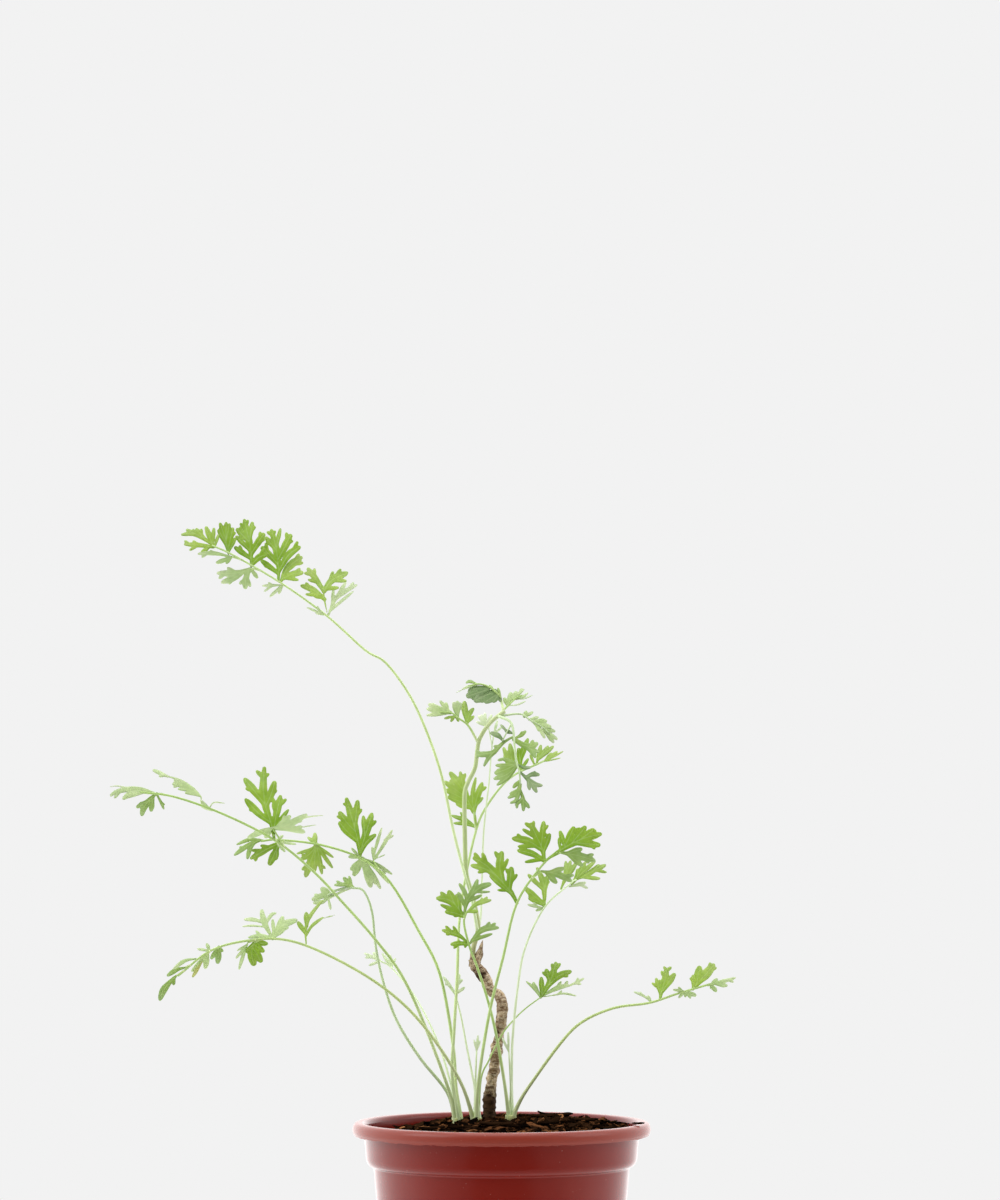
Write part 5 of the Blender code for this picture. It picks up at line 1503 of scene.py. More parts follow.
# Leaves. "on" names what the stalk springs from and the bearing of its foot there, in degrees seen from above.
# "run" is the stalk's route. Each blade is (x, z of its base, lean sideways, lean upwards, tone, lobes); the leans
# say how far it goes back per millimetre across and up. A lobe is (half width, its line, tips of its side teeth if
# it has any), the last two as steps across and up in turn, from the blade's base, or from the pot's axis and
# underside where the blade is wrapped in "shifted".
LEAVES = {
    "leaf_left_long": dict(on=("left", 216), run=[(-22.9, 3, 125.3), (-34.3, 0, 155.8), (-43.9, -7, 176.3),
     (-55.6, -15, 192), (-68.3, -20, 206.4), (-81.8, -25, 220.8), (-98.4, -30, 234.3), (-120.6, -35, 245.7),
     (-142.4, -38, 253.5), (-158, -40, 255.6)], blades=[
     (-99.6, 237.2, 0.1, 0.35, BRIGHT, [(2.1, [0.3, -1, -1, 5.5, -3, 11, -4.4, 20, -3.8, 29.6],
      [-7.3, 27.7, -1.9, 26.4]), (2, [-3.6, 13, -7.5, 18, -12.8, 24.6], [-11.9, 20]),
      (1.9, [-1.2, 5.2, -6.5, 9.3, -12.4, 15.6], [-10.4, 10.7]), (1.9, [-3.1, 12.5, -0.9, 17.5, 0.8, 23.4],
      [1.5, 19.2]), (1.9, [0.4, 2.6, 1.4, 9, 3.3, 17.2], [5.7, 15.4, -0.6, 16.4, -0.2, 13.4]),
      (1.2, [0.3, 2.2, 3.2, 6.3, 6.8, 11])]),
     (-99.7, 239.7, 0.1, -1, PALE, [(1.7, [0, 0, 5, 1, 10, 3.5, 15, 6.3], [12.5, 3.2]),
      (0.4, [9, 2.4, 15, 5, 22, 5.8]), (1.7, [1, 0.2, 8, 0, 14.1, -1.6], [12.6, 1]), (0.35, [9, 0, 19, 1.7]),
      (1.5, [2.6, 1.4, 7.6, 5.6], [5, 5.6]), (1.5, [0, 0, -4, -1, -11.2, -4], [-8, -1.3]),
      (1.4, [-1, -0.8, -3.4, -3.8])]),
     (-131.1, 250, 0.2, 0.6, SILVER, [(0.7, [0, 0, 0, 3.6, -3.8, 7.5, -9, 10.8, -15.2, 12.7]),
      (1.5, [-3.2, 6.8, -8, 8.8, -12.6, 9.2], [-11.6, 10.8, -11.8, 7.8]), (0.9, [-2, 5.5, -6, 6.6, -10.2, 7]),
      (0.9, [-0.8, 4, -4, 5, -7.1, 5.3]), (1.1, [-14.6, 12.5, -17.5, 13.8, -21.2, 15.4], [-18.3, 12.5])]),
     (-125.5, 247.5, -0.4, -0.6, PALE, [(1.1, [0, 0, -3, 1.5, -6, 4.8]), (0.4, [-2, 1, 0, 3.6, 4.8, 3.3]),
      (0.6, [-1, 0, -5.5, 1.7])]),
     (-150.5, 255.1, 0.1, -0.5, MID, [(1.7, [0, 0, -3.2, -3, -5.6, -6.5, -6.5, -10]),
      (1.3, [-3.1, -3, -8.8, -6.2], [-7.2, -4.2]), (1.4, [-1.6, -2.2, -2.4, -7.8]),
      (0.8, [0.2, -0.6, 2, -4, 3.3, -7.1], [3.5, -5]), (0.6, [0, 0, 4, -0.6])]),
     (-151.5, 255.3, 0.2, 0.7, SILVER, [(1.4, [0, 0, -6, 1.8, -12, 1.5, -17, 0.3, -19.2, -1.5], [-17.4, -2.3]),
      (1.3, [-9, 1.2, -13.7, -2.8], [-12.2, -2.4]), (1.3, [-3, 0.8, -8.5, -0.5, -12, -2]),
      (0.35, [-11, 2.2, -16, 3, -19.4, 2.7])])]),
    "leaf_left_back": dict(on=("left", 0), run=[(-19.9, 7.5, 127.1), (-21.2, 11, 145.4), (-26.9, 15, 176.3),
     (-36.4, 19, 195.5), (-48.7, 22, 216.4), (-60.9, 25, 226.5), (-78.7, 26, 232.6), (-97.5, 28, 234.8),
     (-105, 28, 234.2)], blades=[
     (-61.6, 227.3, 0.1, 0.25, BRIGHT, [(2.1, [0, 0, -0.8, 6, -2.5, 13, -4.2, 19, -6.2, 26], [-7.4, 23.3]),
      (1.7, [-2.5, 13, -1.8, 19, -1.1, 25], [0.6, 20.9]), (1.8, [-2, 11, -6, 15.2, -9.4, 19.9], [-10.1, 17.7]),
      (1.9, [-1, 6.8, -5.5, 11, -9.4, 15.5], [-8.4, 12.1]), (2, [0.2, 3, 2.6, 11, 5.2, 19.4], [6.9, 15.8]),
      (1.3, [1.9, 9, 1.3, 18.2]), (1.5, [0, 1.6, 2.6, 6.5, 6.9, 10])]),
     (-55.9, 225.6, 0.8, 0.5, SILVER, [(0.9, [0, 0, 0.8, 5, 3.7, 14.6]), (1, [0.6, 1, 4.4, 7, 8.3, 13.6],
      [8.8, 11.2, 4.9, 9.6]), (0.8, [0, 1, -0.5, 6.3]), (0.35, [1, 1, 5.4, 2.9])]),
     (-60.7, 226.5, -0.3, -0.5, SILVER, [(1.1, [0, 0, -3, 0.9, -6.2, 0.9]),
      (1.5, [0, 0, -2.5, -2.4, -5.1, -4.8]), (1.7, [0, 0, -1.8, -3.4, -3.9, -7.4]), (0.8, [-1, 0.6, -4.9, 4.9]),
      (1.9, [0, 0, 2, -6, 3.8, -12.6], [1.8, -8.6]), (1.3, [0.6, -1, 4, -6, 8, -13.1], [5.4, -11]),
      (1.1, [0.6, -0.6, 6, -4, 11.6, -10.7]), (1, [0.5, 0, 6, -2.2, 13.1, -6.8], [10, -6.6])]),
     (-80.7, 232.6, 0.2, 0.7, FRESH, [(1.3, [0, 0, -0.6, 2.4, -0.7, 5.2]), (1, [0, 0.4, -3.9, 3.4])]),
     (-80.7, 232.6, 0.2, -0.3, FRESH, [(0.9, [0, 0, -3.5, -2.2, -8.8, -3.9]), (1.4, [0, 0, -3, -4, -7.5, -6.8],
      [-6.4, -4.6]), (1.9, [0, 0, -2.5, -7, -4.9, -14.2], [-6.3, -10.8]), (1.7, [0, 0, -0.8, -6, -1, -12]),
      (1.3, [0, 0, 1.2, -6, 2.4, -12.9], [3.8, -10.2]), (1.1, [0.3, -0.5, 3.4, -5, 7.1, -10.2]),
      (0.9, [0.4, -0.2, 3.4, -2.6, 7.5, -5.6])]),
     (-96.8, 233.4, 0.2, -0.4, BRIGHT, [(1.9, [0, 0, -2.2, -4.5, -4.6, -9.8]), (1.3, [-1, -1.6, -1.6, -7.3]),
      (1.7, [0, 0, -5.5, -2.6, -12.9, -6.9], [-10.6, -7.8, -12.3, -3.2, -8.3, -1.1])]),
     (-98.2, 234.2, 0.2, 0.4, PALE, [(0.9, [0, 0, 2.9, 2.6]), (0.8, [0, 0, 8.7, -1.3]),
      (0.9, [0, -0.4, 3.9, -4.7])]),
     (-103.6, 234.6, 0.2, 0.2, MID, [(1, [0, 0, -6, 0.4, -12.1, -1.9]), (1.3, [-2, 0, -7.5, -2.5, -13.1, -6.6],
      [-10.6, -3]), (1.2, [-4, -0.8, -6.2, -4, -7.3, -8.3])])]),
    "leaf_left_inner": dict(on=("left", 144), run=[(-23.8, 6, 124.9), (-35.6, 7, 139.7), (-45.6, 8, 155.8),
     (-51.3, 9, 171.8), (-54.8, 10, 187.7), (-56.5, 10, 203.4), (-60, 11, 212.3), (-64.4, 12, 213.8),
     (-70.5, 12, 213.4), (-77, 12, 209.9)], blades=[
     (-64.6, 214.1, 0.3, 0.7, MID, [(1.3, [0, 0, -2.2, 2, -4.4, 4.4]), (0.8, [-0.6, 0.6, -2, 5.1]),
      (1.1, [0, 0, -4, 1.2, -8.5, 1], [-7.4, 2.8])]),
     (-66, 213.4, 0.2, -0.8, PALE, [(0.8, [0, 0, -5, -1.8, -10.6, -4.6, -14.2, -7]),
      (0.5, [-2, -0.4, -8, -0.6]), (0.8, [-9.5, -4.4, -8.5, -9.1])]),
     (-73.9, 210.8, 0.2, 0.5, SILVER, [(1.8, [0, 0, -2.2, 1, -4.6, 2.9]), (1.5, [0, 0, -4.5, -0.4, -9, -2.2],
      [-7.6, 0.2]), (1.1, [-2, -0.8, -4, -3, -8.4, -3.6])])]),
    "leaf_left_low": dict(on=("middle", 198), run=[(-18.6, -7, 130.6), (-34.3, -12, 154.1), (-51.3, -18, 170.2),
     (-73.1, -25, 183.3), (-93.1, -32, 191), (-110.6, -38, 190.9), (-127.1, -43, 186.4),
     (-141.1, -48, 175.5)], blades=[
     (-85.2, 189.3, 0.2, 0.3, FRESH, [(1, [0, 0, -0.3, 6, 1, 11, 4, 15.5, 7.4, 19.4]),
      (1.3, [-0.2, 4.6, -3.8, 9.9]), (1.4, [0.2, 8, 0, 13.9]), (0.9, [0, 3.8, 2.5, 8, 7.4, 11.8]),
      (0.3, [6, 11, 12.6, 12.7])]),
     (-99.9, 192, 0.3, 0.8, SILVER, [(1.6, [0, 0, -3, 5.5, -4.4, 10, -4.7, 12.6]),
      (1.1, [-3.4, 6.6, -8, 8, -12.6, 8.1]), (0.6, [-2.8, 4.8, -9, 5.4, -13.4, 5]),
      (1, [-3, 6, -0.6, 10, 1.7, 10.9]), (1.8, [0, 0, 4, 5.4, 10.9, 8], [7, 4.6]), (1.4, [1.4, 2.6, 4.7, 9.6]),
      (1, [0.6, 1.4, 0, 8.4]), (1, [0.4, 0.4, 5.3, 3.6]), (1.1, [0, 0, -5, 1, -10.7, 0.2], [-7.4, 3.2])]),
     (-107.9, 190.1, 0.2, -0.2, BRIGHT, [(2.2, [0, 0, -1.2, -4, 0, -10.2]), (1.9, [-0.4, -2.4, 3.1, -8.4]),
      (1.5, [0, -1, 4.2, -4]), (1.4, [0.6, 0, 5.8, -0.6]), (1.2, [-0.4, -0.6, -3.5, -4.4])]),
     (-110.6, 190, 0.5, -0.9, SILVER, [(1, [0, 0, -2.2, -6, -4, -11.9]), (0.8, [-0.8, -1.6, -5.4, -7]),
      (0.6, [-0.4, -0.8, -4.8, -3.6])]),
     (-123.3, 188.1, 0.2, -0.5, MID, [(1.6, [0.4, 0, -0.6, -7.2]), (1.2, [0, 0, -3.5, -5.3]),
      (0.8, [0, 0, 1.8, -2])]),
     (-127.3, 186.4, 0.2, 0.9, SILVER, [(1, [0, 0, -1.3, 3.2]), (0.8, [0, 0, -5.6, 0.9])]),
     (-127.9, 186, 0.2, -0.4, SILVER, [(1.5, [0, 0, -1.4, -7.4]),
      (1.2, [-0.6, -0.6, -4.5, -5.6, -7.4, -8.7])]),
     (-130, 183.6, 0.2, -0.4, YELLOW, [(1, [-0.6, -2, -2.8, -5.4, -4.9, -8.8])]),
     (-133.3, 183, 0.2, 0.4, SILVER, [(1.1, [0, 0, -5, -1, -10, -4.6])]),
     (-138, 179.2, 0.2, 0.2, MID, [(1.3, [0, 0, -4, -1.2, -8, -3.8])]),
     (-142, 175.4, 0.2, 0.2, MID, [(1.8, [0, 0, -3, -3, -5.6, -6.4, -7.2, -10.8], [-1, -3.8])])]),
    "leaf_top_long": dict(on=("shoot", 12.5, 250), run=[(-12.9, 3, 208.6), (-16.4, 2, 220.8), (-21.2, 0, 239.6),
     (-26, -3, 262.2), (-32.1, -5, 280.5), (-39.9, -8, 297.5), (-50.4, -10, 311.9), (-59.6, -12, 317.6),
     (-76.1, -14, 332.4), (-96.2, -16, 346.8), (-117.1, -17, 359), (-126.3, -18, 363.2)], blades=[
     (-125.1, 362.8, 0.1, 0.3, FRESH, [(1.4, [0, 0, -5.6, 3.9, -9.4, 5.6, -14.7, 5]),
      (1.4, [-1.2, 1, -3.9, 8.8]), (1.1, [-1, 1, -0.3, 8.2]), (0.9, [0, 0, 1.8, 5.4]), (1.3, [-4, 2.8, -8.3, 7.8],
      [-5.8, 7.6]), (1.1, [-7, 4.6, -12.5, 7.4], [-9.5, 7.5]), (1.3, [-0.6, -0.3, -7.2, 0.6, -13.5, 0.9],
      [-13.1, 2.4, -9.5, 2.4, -11.1, -1.8]), (1.2, [-2.4, -0.2, -6.1, -3.3])]),
     (-119, 359.5, 0.1, 0.35, BRIGHT, [(1.6, [0, 0, -1.2, 6, -1.1, 14]), (1.3, [-1, 5, -3.9, 13.7]),
      (1.2, [-1, 6, 0.4, 13.4]), (1.3, [-0.8, 3.4, -4.7, 10.8]), (1.4, [-0.3, 2, 1.9, 11.6], [2.9, 9.3]),
      (1, [0, 1, 3.3, 7.4])]),
     (-109, 354.2, 0.1, 0.3, BRIGHT, [(1.8, [0, 0, -0.6, 8.3, -2.2, 15.6, -3.3, 20.6], [-5, 18.6, -1.6, 20]),
      (1.4, [-1, 11, 0.4, 19.4], [1.6, 17.2]), (1.8, [0, 5.6, 2.6, 10, 5.6, 14.4], [3.7, 14.8, 5.6, 11.5]),
      (1.5, [-1.2, 10.5, -6.7, 16.4], [-5, 16.9]), (1.3, [-1, 7, -7, 13.2]), (1.5, [-0.6, 3.4, -7.6, 8.4],
      [-5.3, 8.9]), (1.7, [0, 0.6, 3.3, 3.9, 6.6, 4.9], [5.6, 7.8])]),
     (-97.3, 348.1, -0.1, 0.35, BRIGHT, [(1.8, [0, 0, 0, 5.6, -1.1, 13.9, -3.2, 22.3], [-4.9, 21, -1.4, 21.4]),
      (1.1, [-1, 14, 0.9, 22.7]), (1.4, [-1.4, 13.4, -5.7, 18.8]), (1.7, [-0.4, 7, -4, 11, -7.6, 14.6],
      [-5.6, 16.2]), (1.5, [-0.2, 3, -7.8, 8.8], [-6.1, 6]), (1.9, [-0.2, 9, 3, 15, 5.6, 20.1],
      [3.4, 20.6, 6.2, 17]), (1.8, [0.2, 4, 4.4, 11, 9.7, 14.7], [8.4, 16.8])]),
     (-96.2, 347.5, 0.4, 0.5, FRESH, [(2, [0, 0, 1.9, 4.4, 5, 7.8, 9.4, 10.8], [7.8, 11.9, 9.6, 8.1]),
      (1.6, [0.8, 1.2, 5, 3.2, 9.9, 3.9], [8.3, 5.6, 7.8, 0.6])]),
     (-75.6, 331.9, 0.1, 0.3, FRESH, [(0.45, [0, 0, -1.7, 7.8, -2.1, 12.9]),
      (1.6, [-1.9, 11.4, -6.1, 17.6, -9.2, 21.6], [-10.4, 19.3, -6, 21.2, -8.8, 16.4]),
      (1.6, [-1.6, 7.8, -6.7, 12, -12.2, 13.9], [-9.8, 15, -10, 10, -6, 9]),
      (1.9, [-1.8, 11.4, 1.7, 16.2, 8.7, 19.6], [5.5, 21, 2.1, 19.9, 8.1, 15.8, 4.7, 12.9])]),
     (-75.6, 332.5, 0.3, 0.6, PALE, [(1.3, [0, 0, 2.8, 7, 7.2, 10.6, 12.7, 13.6], [11.1, 14.6, 11.1, 10.8]),
      (0.9, [1.6, 4, 2.3, 12.1]), (1.1, [3.4, 7.6, 7.8, 14.8])]),
     (-117.6, 358.2, 0.2, -0.8, SILVER, [(1.2, [0, 0, -8, 1.6, -15, 1.3], [-9.4, 2.8, -13.1, -0.2]),
      (1.2, [-0.6, -0.4, -7, -2.7]), (0.9, [-0.4, -0.4, -2.5, -2.9])]),
     (-109.3, 353.2, 0.2, -0.9, SILVER, [(1.7, [0, 0, -6.4, -2, -15, -2.1], [-10.4, 0.3, -13.9, -4.4]),
      (1.6, [-2.6, -1, -7, -4, -13.1, -6.3], [-9.5, -6.8]), (1.7, [-0.8, -0.6, -2.2, -4.6, -2.5, -9],
      [-5, -6.8, -0.2, -8]), (1.1, [0, -0.2, 2.9, -4.3])]),
     (-95.4, 345.9, 0.2, -0.9, PALE, [(0.9, [0, 0, -9.1, -0.3], [-6.4, 1.1, -8.3, -2.9]),
      (0.9, [-0.6, -0.4, -5.8, -5.2]), (0.8, [-0.2, -0.4, -1.9, -3.9])]),
     (-77, 332.9, 0.3, -0.6, PALE, [(0.7, [0, 0, -8.1, 3.3], [-3.6, 4.1]), (0.6, [-0.4, 0, -4.2, 0.8])])]),
    "leaf_back_right": dict(on=("left", 288), run=[(-21.6, 3.3, 132.3), (-20.8, 4, 150.6), (-19.4, 6, 174.6),
     (-18.6, 10, 197.3), (-16, 14, 216.9), (-11.2, 15, 238.7), (-6.4, 16, 249.6), (3.7, 17, 261.8),
     (18.5, 19, 269.2)], blades=[
     (-12.2, 247.1, 0.1, 0.3, FRESH, [(0.6, [1.6, -7, 0.6, -2, 0, 1]),
      (1.7, [0, 0, -2.5, 5, -4.5, 11, -5.9, 17.6], [-3.6, 16.6]), (1.8, [-3.4, 8, -10.5, 17.4]),
      (1.6, [-2.8, 6, -13, 13.3], [-10.2, 13.8]), (1.5, [-2.4, 4.6, -12.8, 9.8]), (1.5, [-1.4, 2.8, -11.6, 6.6]),
      (1.5, [-0.8, 1.6, -7.6, 3.5]), (1.7, [0, 0, 1.4, 6, 3.9, 12.9], [5.5, 10.8]),
      (1.1, [0, 0.6, -0.6, 7, 1, 15.1]), (0.9, [0.4, 2, 4.2, 6.4])]),
     (-10.9, 239.8, 0.2, 0.9, BRIGHT, [(1.2, [0, 0, -3.6, 3, -11.1, 5.7]), (0.9, [-3.6, 3, -7.2, 7.1]),
      (1, [-1, 0.8, -5, 2, -10.2, 2.3])]),
     (4, 262.4, 0.1, 0.4, FRESH, [(1.7, [0, 0, 0.5, 7, -0.4, 14.6]), (1.3, [0.2, 4, -3.3, 12.9]),
      (0.9, [0, 2.6, -3.1, 9.4])]),
     (8.2, 264.6, 0.1, 0.4, BRIGHT, [(1.6, [0, 0, 0.2, 6, 3.4, 14.6]), (1.4, [0, 2, -0.8, 10.4]),
      (0.9, [0.4, 1, 3.6, 5.8])]),
     (15.2, 267.8, 0.1, 0.5, FRESH, [(1.2, [0, 0, 1, 4, 2, 8.6]), (0.9, [0.8, 2.6, 5.3, 8.2]),
      (1.2, [0.6, 2, 7.6, 8]), (0.8, [-1, 0, -2.8, 4.4])]),
     (18.5, 269, 0.2, 0.4, FRESH, [(0.9, [0, 0, 3.4, 3.8]), (0.8, [0.6, 0.4, 6, 4.6]),
      (0.6, [1, 0.4, 8.5, 4.5]), (0.4, [1, 0, 7.4, 1.6])])]),
    "leaf_thin_behind": dict(on=("shoot", 11.5, 70), thick=0.75, run=[(-9, 12, 203.3), (-8.5, 12, 219.5),
     (-7.7, 12, 239.6), (-5.5, 12.4, 259.6), (-4.6, 13, 271.4), (-3.4, 14, 281)], blades=[
     (-3.4, 281, 0.2, 0.6, FAINT, [(0.8, [0, 0, 1.6, 6]), (0.6, [0, 0, 4, 3.5])]),
     (-5.6, 283.4, 0.2, 0.6, FAINT, [(1.1, [0, 0, -1.6, 3.4, -1.6, 6.8]), (1, [-0.4, 1.4, -4.8, 5.6],
      [-3.2, 6]), (0.9, [-0.2, 1, -5.6, 3]), (1, [-0.6, 2, 1.4, 6])])]),
    "leaf_shoot_left": dict(on=("shoot", 93, 200), thick=0.8, run=[(-14.6, 5, 284.7), (-19, 4, 288), (-21.8, 3, 290.1),
     (-26.9, 2, 290.6)], blades=[
     (-14.9, 285.2, 0.1, 0.4, FRESH, [(1.6, [0, 0, -1, 5, -1.3, 10.3]), (1.2, [0.1, 2, 1.2, 5, 2.7, 7]),
      (0.9, [0.1, 0.8, 2.9, 3.7]), (1, [-0.8, 4, -2.9, 9])]),
     (-19.3, 288.4, 0.1, 0.4, SILVER, [(1.3, [0, 0, -1.7, 6.5]), (1.4, [0, 0, 0, 7]),
      (1.1, [0, 1, 1.5, 6.3])]),
     (-22.2, 290.3, 0.1, 0.4, SILVER, [(1.1, [0, 0, -2.5, 2.5, -4.8, 5.3]), (0.8, [-1, 1.2, -2.1, 4.5]),
      (1.5, [0, 0, -5, 1.6, -9.9, 3.8], [-7.8, 4]), (1.3, [-2, 0.6, -6, 0.8, -10.6, 1.7]),
      (1.1, [0, 0, -5, -0.6, -10.7, -1.2])]),
     (-20.3, 289, 0.1, -0.4, FRESH, [(0.8, [0, 0, -4.8, -1.4]), (0.8, [0, 0, -1.9, -2.7]),
      (0.8, [0.4, -0.2, 1.6, -2.6])])]),
    "leaf_shoot_crest": dict(on=("shoot", 116.5, 150), thick=0.8, run=[(-0.3, 11, 295.8), (-2.2, 11, 298.9),
     (-5.5, 10.5, 301.5), (-9.9, 10, 302.8), (-14.6, 9, 301.9)], blades=[
     shifted(-2.2, 298.9, 0.3, 0.5, DARK, [(2, [-1.2, 298.4, -4, 297, -7.2, 294.9]),
      (2.3, [-3, 299.4, -7, 297.8, -11.8, 295.4], [-8.6, 294.8]), (1.7, [-0.6, 297.4, -0.6, 295.2]),
      (1.9, [-1.4, 298, -3.6, 295])]),
     shifted(-6, 301.3, 0.2, 0.6, DARK, [(2.1, [-5.6, 300.6, -10, 299, -15.4, 297.4],
      [-14.6, 299.6, -12.6, 296]), (1.6, [-6, 301, -11, 300.8, -14.4, 300])]),
     shifted(-12, 302.5, 0.2, 0.8, PALE, [(0.8, [-10.4, 302.6, -14, 301.8, -17.2, 300.5]),
      (0.3, [-15, 301.4, -20.1, 298.9])]),
     shifted(-11, 302.9, 0.2, 0.8, MID, [(0.9, [-10.6, 302.8, -13.9, 303.9, -15.6, 303.2])]),
     shifted(-2.2, 298.9, 0.2, 0.8, MID, [(0.7, [-3, 299.8, -5.5, 302.4]), (0.8, [-0.4, 297, -1.7, 301.2])])]),
    "leaf_shoot_pale": dict(on=("shoot", 115, 90), thick=0.7, run=[(5.8, 14, 296.2), (9, 15, 298)], blades=[
     shifted(4, 294.6, 0.2, 0.7, SILVER, [(1, [2.4, 293.4, 4, 296, 7, 298.2, 9.9, 300.6], [8.8, 300.8]),
      (1.2, [2.6, 293.6, 1.1, 296.6]), (1.3, [3, 294.4, 4.1, 299]), (1.1, [4.4, 296.2, 6.5, 299.5]),
      (0.8, [5, 296, 8.6, 296.8, 11.6, 299]), (1.1, [2.6, 293.2, 3.4, 295.4])]),
     shifted(6.2, 296.4, 0.2, 0.7, FAINT, [(0.45, [5.4, 296, 9.6, 296.4, 13.8, 298]),
      (0.5, [3, 293.4, 7, 293.8, 10.7, 295.4], [9.6, 294.8])])]),
    "leaf_shoot_right": dict(on=("shoot", 115.5, 0), thick=0.7, run=[(8, 8, 289.7), (12.4, 7, 287.1), (17.8, 6, 284),
     (21, 5, 281)], blades=[
     shifted(9.7, 288.7, 0.2, 0.5, SILVER, [(1, [9.6, 288.6, 10.9, 290.9]), (0.9, [9.8, 288.4, 13.8, 290.6]),
      (0.9, [12, 287.2, 16.2, 288.4], [14, 286])]),
     shifted(15, 285.6, 0.2, 0.5, SILVER, [(1.2, [13.4, 286.4, 17, 286.8, 19.8, 286.5]),
      (1.3, [15, 285.4, 18.6, 284.8, 21.7, 283.9]), (1, [13.6, 286.4, 15.6, 284.4, 16.2, 282.2]),
      (1, [16, 284.8, 18.9, 279])]),
     shifted(19, 282.4, 0.2, 0.4, SILVER, [(1.1, [18, 283.4, 21, 282.8, 23.4, 282]),
      (1.1, [18.6, 283, 21.4, 280.6, 24.5, 278.5]), (1.1, [18.2, 283, 20.6, 280, 22.9, 277], [21, 278.2])])]),
    "leaf_shoot_hanging": dict(on=("shoot", 115, 290), thick=0.9, run=[(4.3, 2, 285.5), (5.7, -2, 275.5),
     (6.5, -5, 268.8), (7.8, -7, 264), (8.2, -8, 256.6)], blades=[
     shifted(5, 279.4, -0.2, 0.4, MID, [(1.3, [5.4, 280, 0.7, 277.2, -3, 273.4, -5.5, 271, -7.8, 266.8]),
      (1.5, [-3, 273.2, -7, 272.2, -11.4, 272], [-11.2, 273.6, -10.8, 270.8]), (0.7, [-0.4, 275.8, -3.6, 275.6])]),
     shifted(0.3, 278, -0.2, 0.4, DARK, [(1.4, [0.8, 277.8, -1.4, 280.2, -5, 281.6]),
      (1, [-0.4, 279, -2.2, 281.4])]),
     shifted(5, 281.2, -0.2, 0.4, DARK, [(1.1, [5, 281.2, 1.6, 282.4]), (0.8, [2.4, 282, -0.5, 285.1])]),
     shifted(6.1, 279.4, 0.3, 0.4, MID, [(1.1, [5.4, 279, 8.4, 280.4, 10.7, 282.4], [8.8, 282]),
      (1.7, [5.4, 278.6, 9, 276.4, 12.4, 274.7, 14.9, 270.5]), (1.6, [9, 276.2, 13, 275.6, 15.7, 277]),
      (0.9, [12.4, 276, 13.8, 278.2]), (1, [11.4, 275, 16.4, 273])]),
     shifted(6.1, 267.6, -0.2, 0.4, MID, [(1.2, [6.4, 268.6, 3.4, 269.2, 0.1, 270.3], [-1.6, 269.5]),
      (1.2, [6.3, 268, 2, 267.2, -2.8, 267.3]), (1.7, [6.3, 267.6, 2, 265.6, -3.2, 263.7], [-2, 265.4]),
      (1.5, [6.4, 267.2, 2.4, 263.4, -3.6, 261.3]), (1.3, [6.5, 266.8, 3, 262.4, -2.2, 258.6])]),
     shifted(7, 267.6, 0.2, 0.4, DARK, [(1, [6.6, 268, 9.6, 266.4, 12.8, 266.3])]),
     shifted(8, 264.2, 0.3, 0.4, DARK, [(1.4, [7.8, 264.6, 12.4, 260.4, 14.9, 258.9, 18, 258.5]),
      (1.2, [12.6, 260.2, 15.4, 255.5]), (1, [11.4, 261, 12.2, 256.5]), (1.3, [10.6, 262, 13.4, 263.4, 16.6, 263.2],
      [14.6, 264.6])]),
     shifted(8, 260.4, 0, 0.4, MID, [(1.1, [8.1, 261, 5, 257.5]), (1.2, [8.2, 259, 6.4, 255.2, 2.6, 253],
      [3.4, 254.8]), (1.1, [8.2, 258, 7, 253.6, 5.3, 250.7], [3.8, 250.8])]),
     shifted(8.4, 256.4, 0, 0.4, MID, [(1.3, [8.2, 257, 9.4, 252, 9.5, 247.2]),
      (1.1, [9.2, 252.6, 12.1, 248.7]), (1, [9, 253, 6, 249.7], [6.6, 248.6])])]),
    "leaf_front_small": dict(on=("right", 225), run=[(1.5, -4, 127.1), (-2, -5.5, 148), (-5.7, -6.5, 163.7),
     (-10.5, -7.5, 178.9), (-13.8, -8, 187.7), (-16.2, -8, 197), (-16.3, -8, 202.1)], blades=[
     (-16.8, 201.5, 0.1, 0.3, BRIGHT, [(2.1, [0, 0, -2.6, 4.1, -6.2, 7.2, -11.8, 7.9], [-9.8, 10.5, -10, 5.1]),
      (1.8, [-3.4, 5, -6.3, 11]), (1.4, [-1.6, 2.8, -2.8, 9.7]), (1.5, [0, 0, -4.1, 1.5, -7.9, 2], [-3.9, 0])]),
     (-16.3, 202.1, 0.1, 0.3, MID, [(1.6, [0, 0, 1, 5.1, 4.1, 10.8, 5.9, 15.6]),
      (1.6, [3, 8.6, 7, 12, 11.9, 13.6]), (1.2, [1.3, 5.6, 0.2, 10, -2.3, 13.8]), (1.2, [0.5, 3.4, -2.7, 10]),
      (0.7, [4.6, 9.8, 11.4, 10.1]), (1, [2, 6, 7.6, 8.6])]),
     (-15.3, 203.1, -0.1, 0.3, FRESH, [(1.3, [0, 0, 4.6, 3.9, 10.9, 5.5], [9.1, 6.8, 7, 6.2]),
      (1, [0.6, 0.4, 5, 0.6])]),
     (-14.5, 189.7, 0.1, 0.3, BRIGHT, [(1.4, [0, 0, -4.4, 3.6, -11.6, 5.8], [-10, 7.6, -6.7, 7.6, -9.6, 3.8]),
      (1.3, [0, -0.4, -4, 0, -7.9, -0.5], [-6.4, -2.2, -4.4, 1.2, -1.5, -1.8])]),
     (-13.7, 189.7, -0.1, 0.3, MID, [(1.6, [0, 0, 3.1, 4.1, 6.7, 6.5, 12.6, 6.8],
      [8.5, 9.2, 11, 8.8, 9.8, 4.2]), (1.2, [0.8, 1.2, 5.2, 3])])]),
    "leaf_front_large": dict(on=("middle", 270), run=[(-10.5, -6.8, 124.9), (-8.4, -8, 141.6), (-4.6, -9, 162.8),
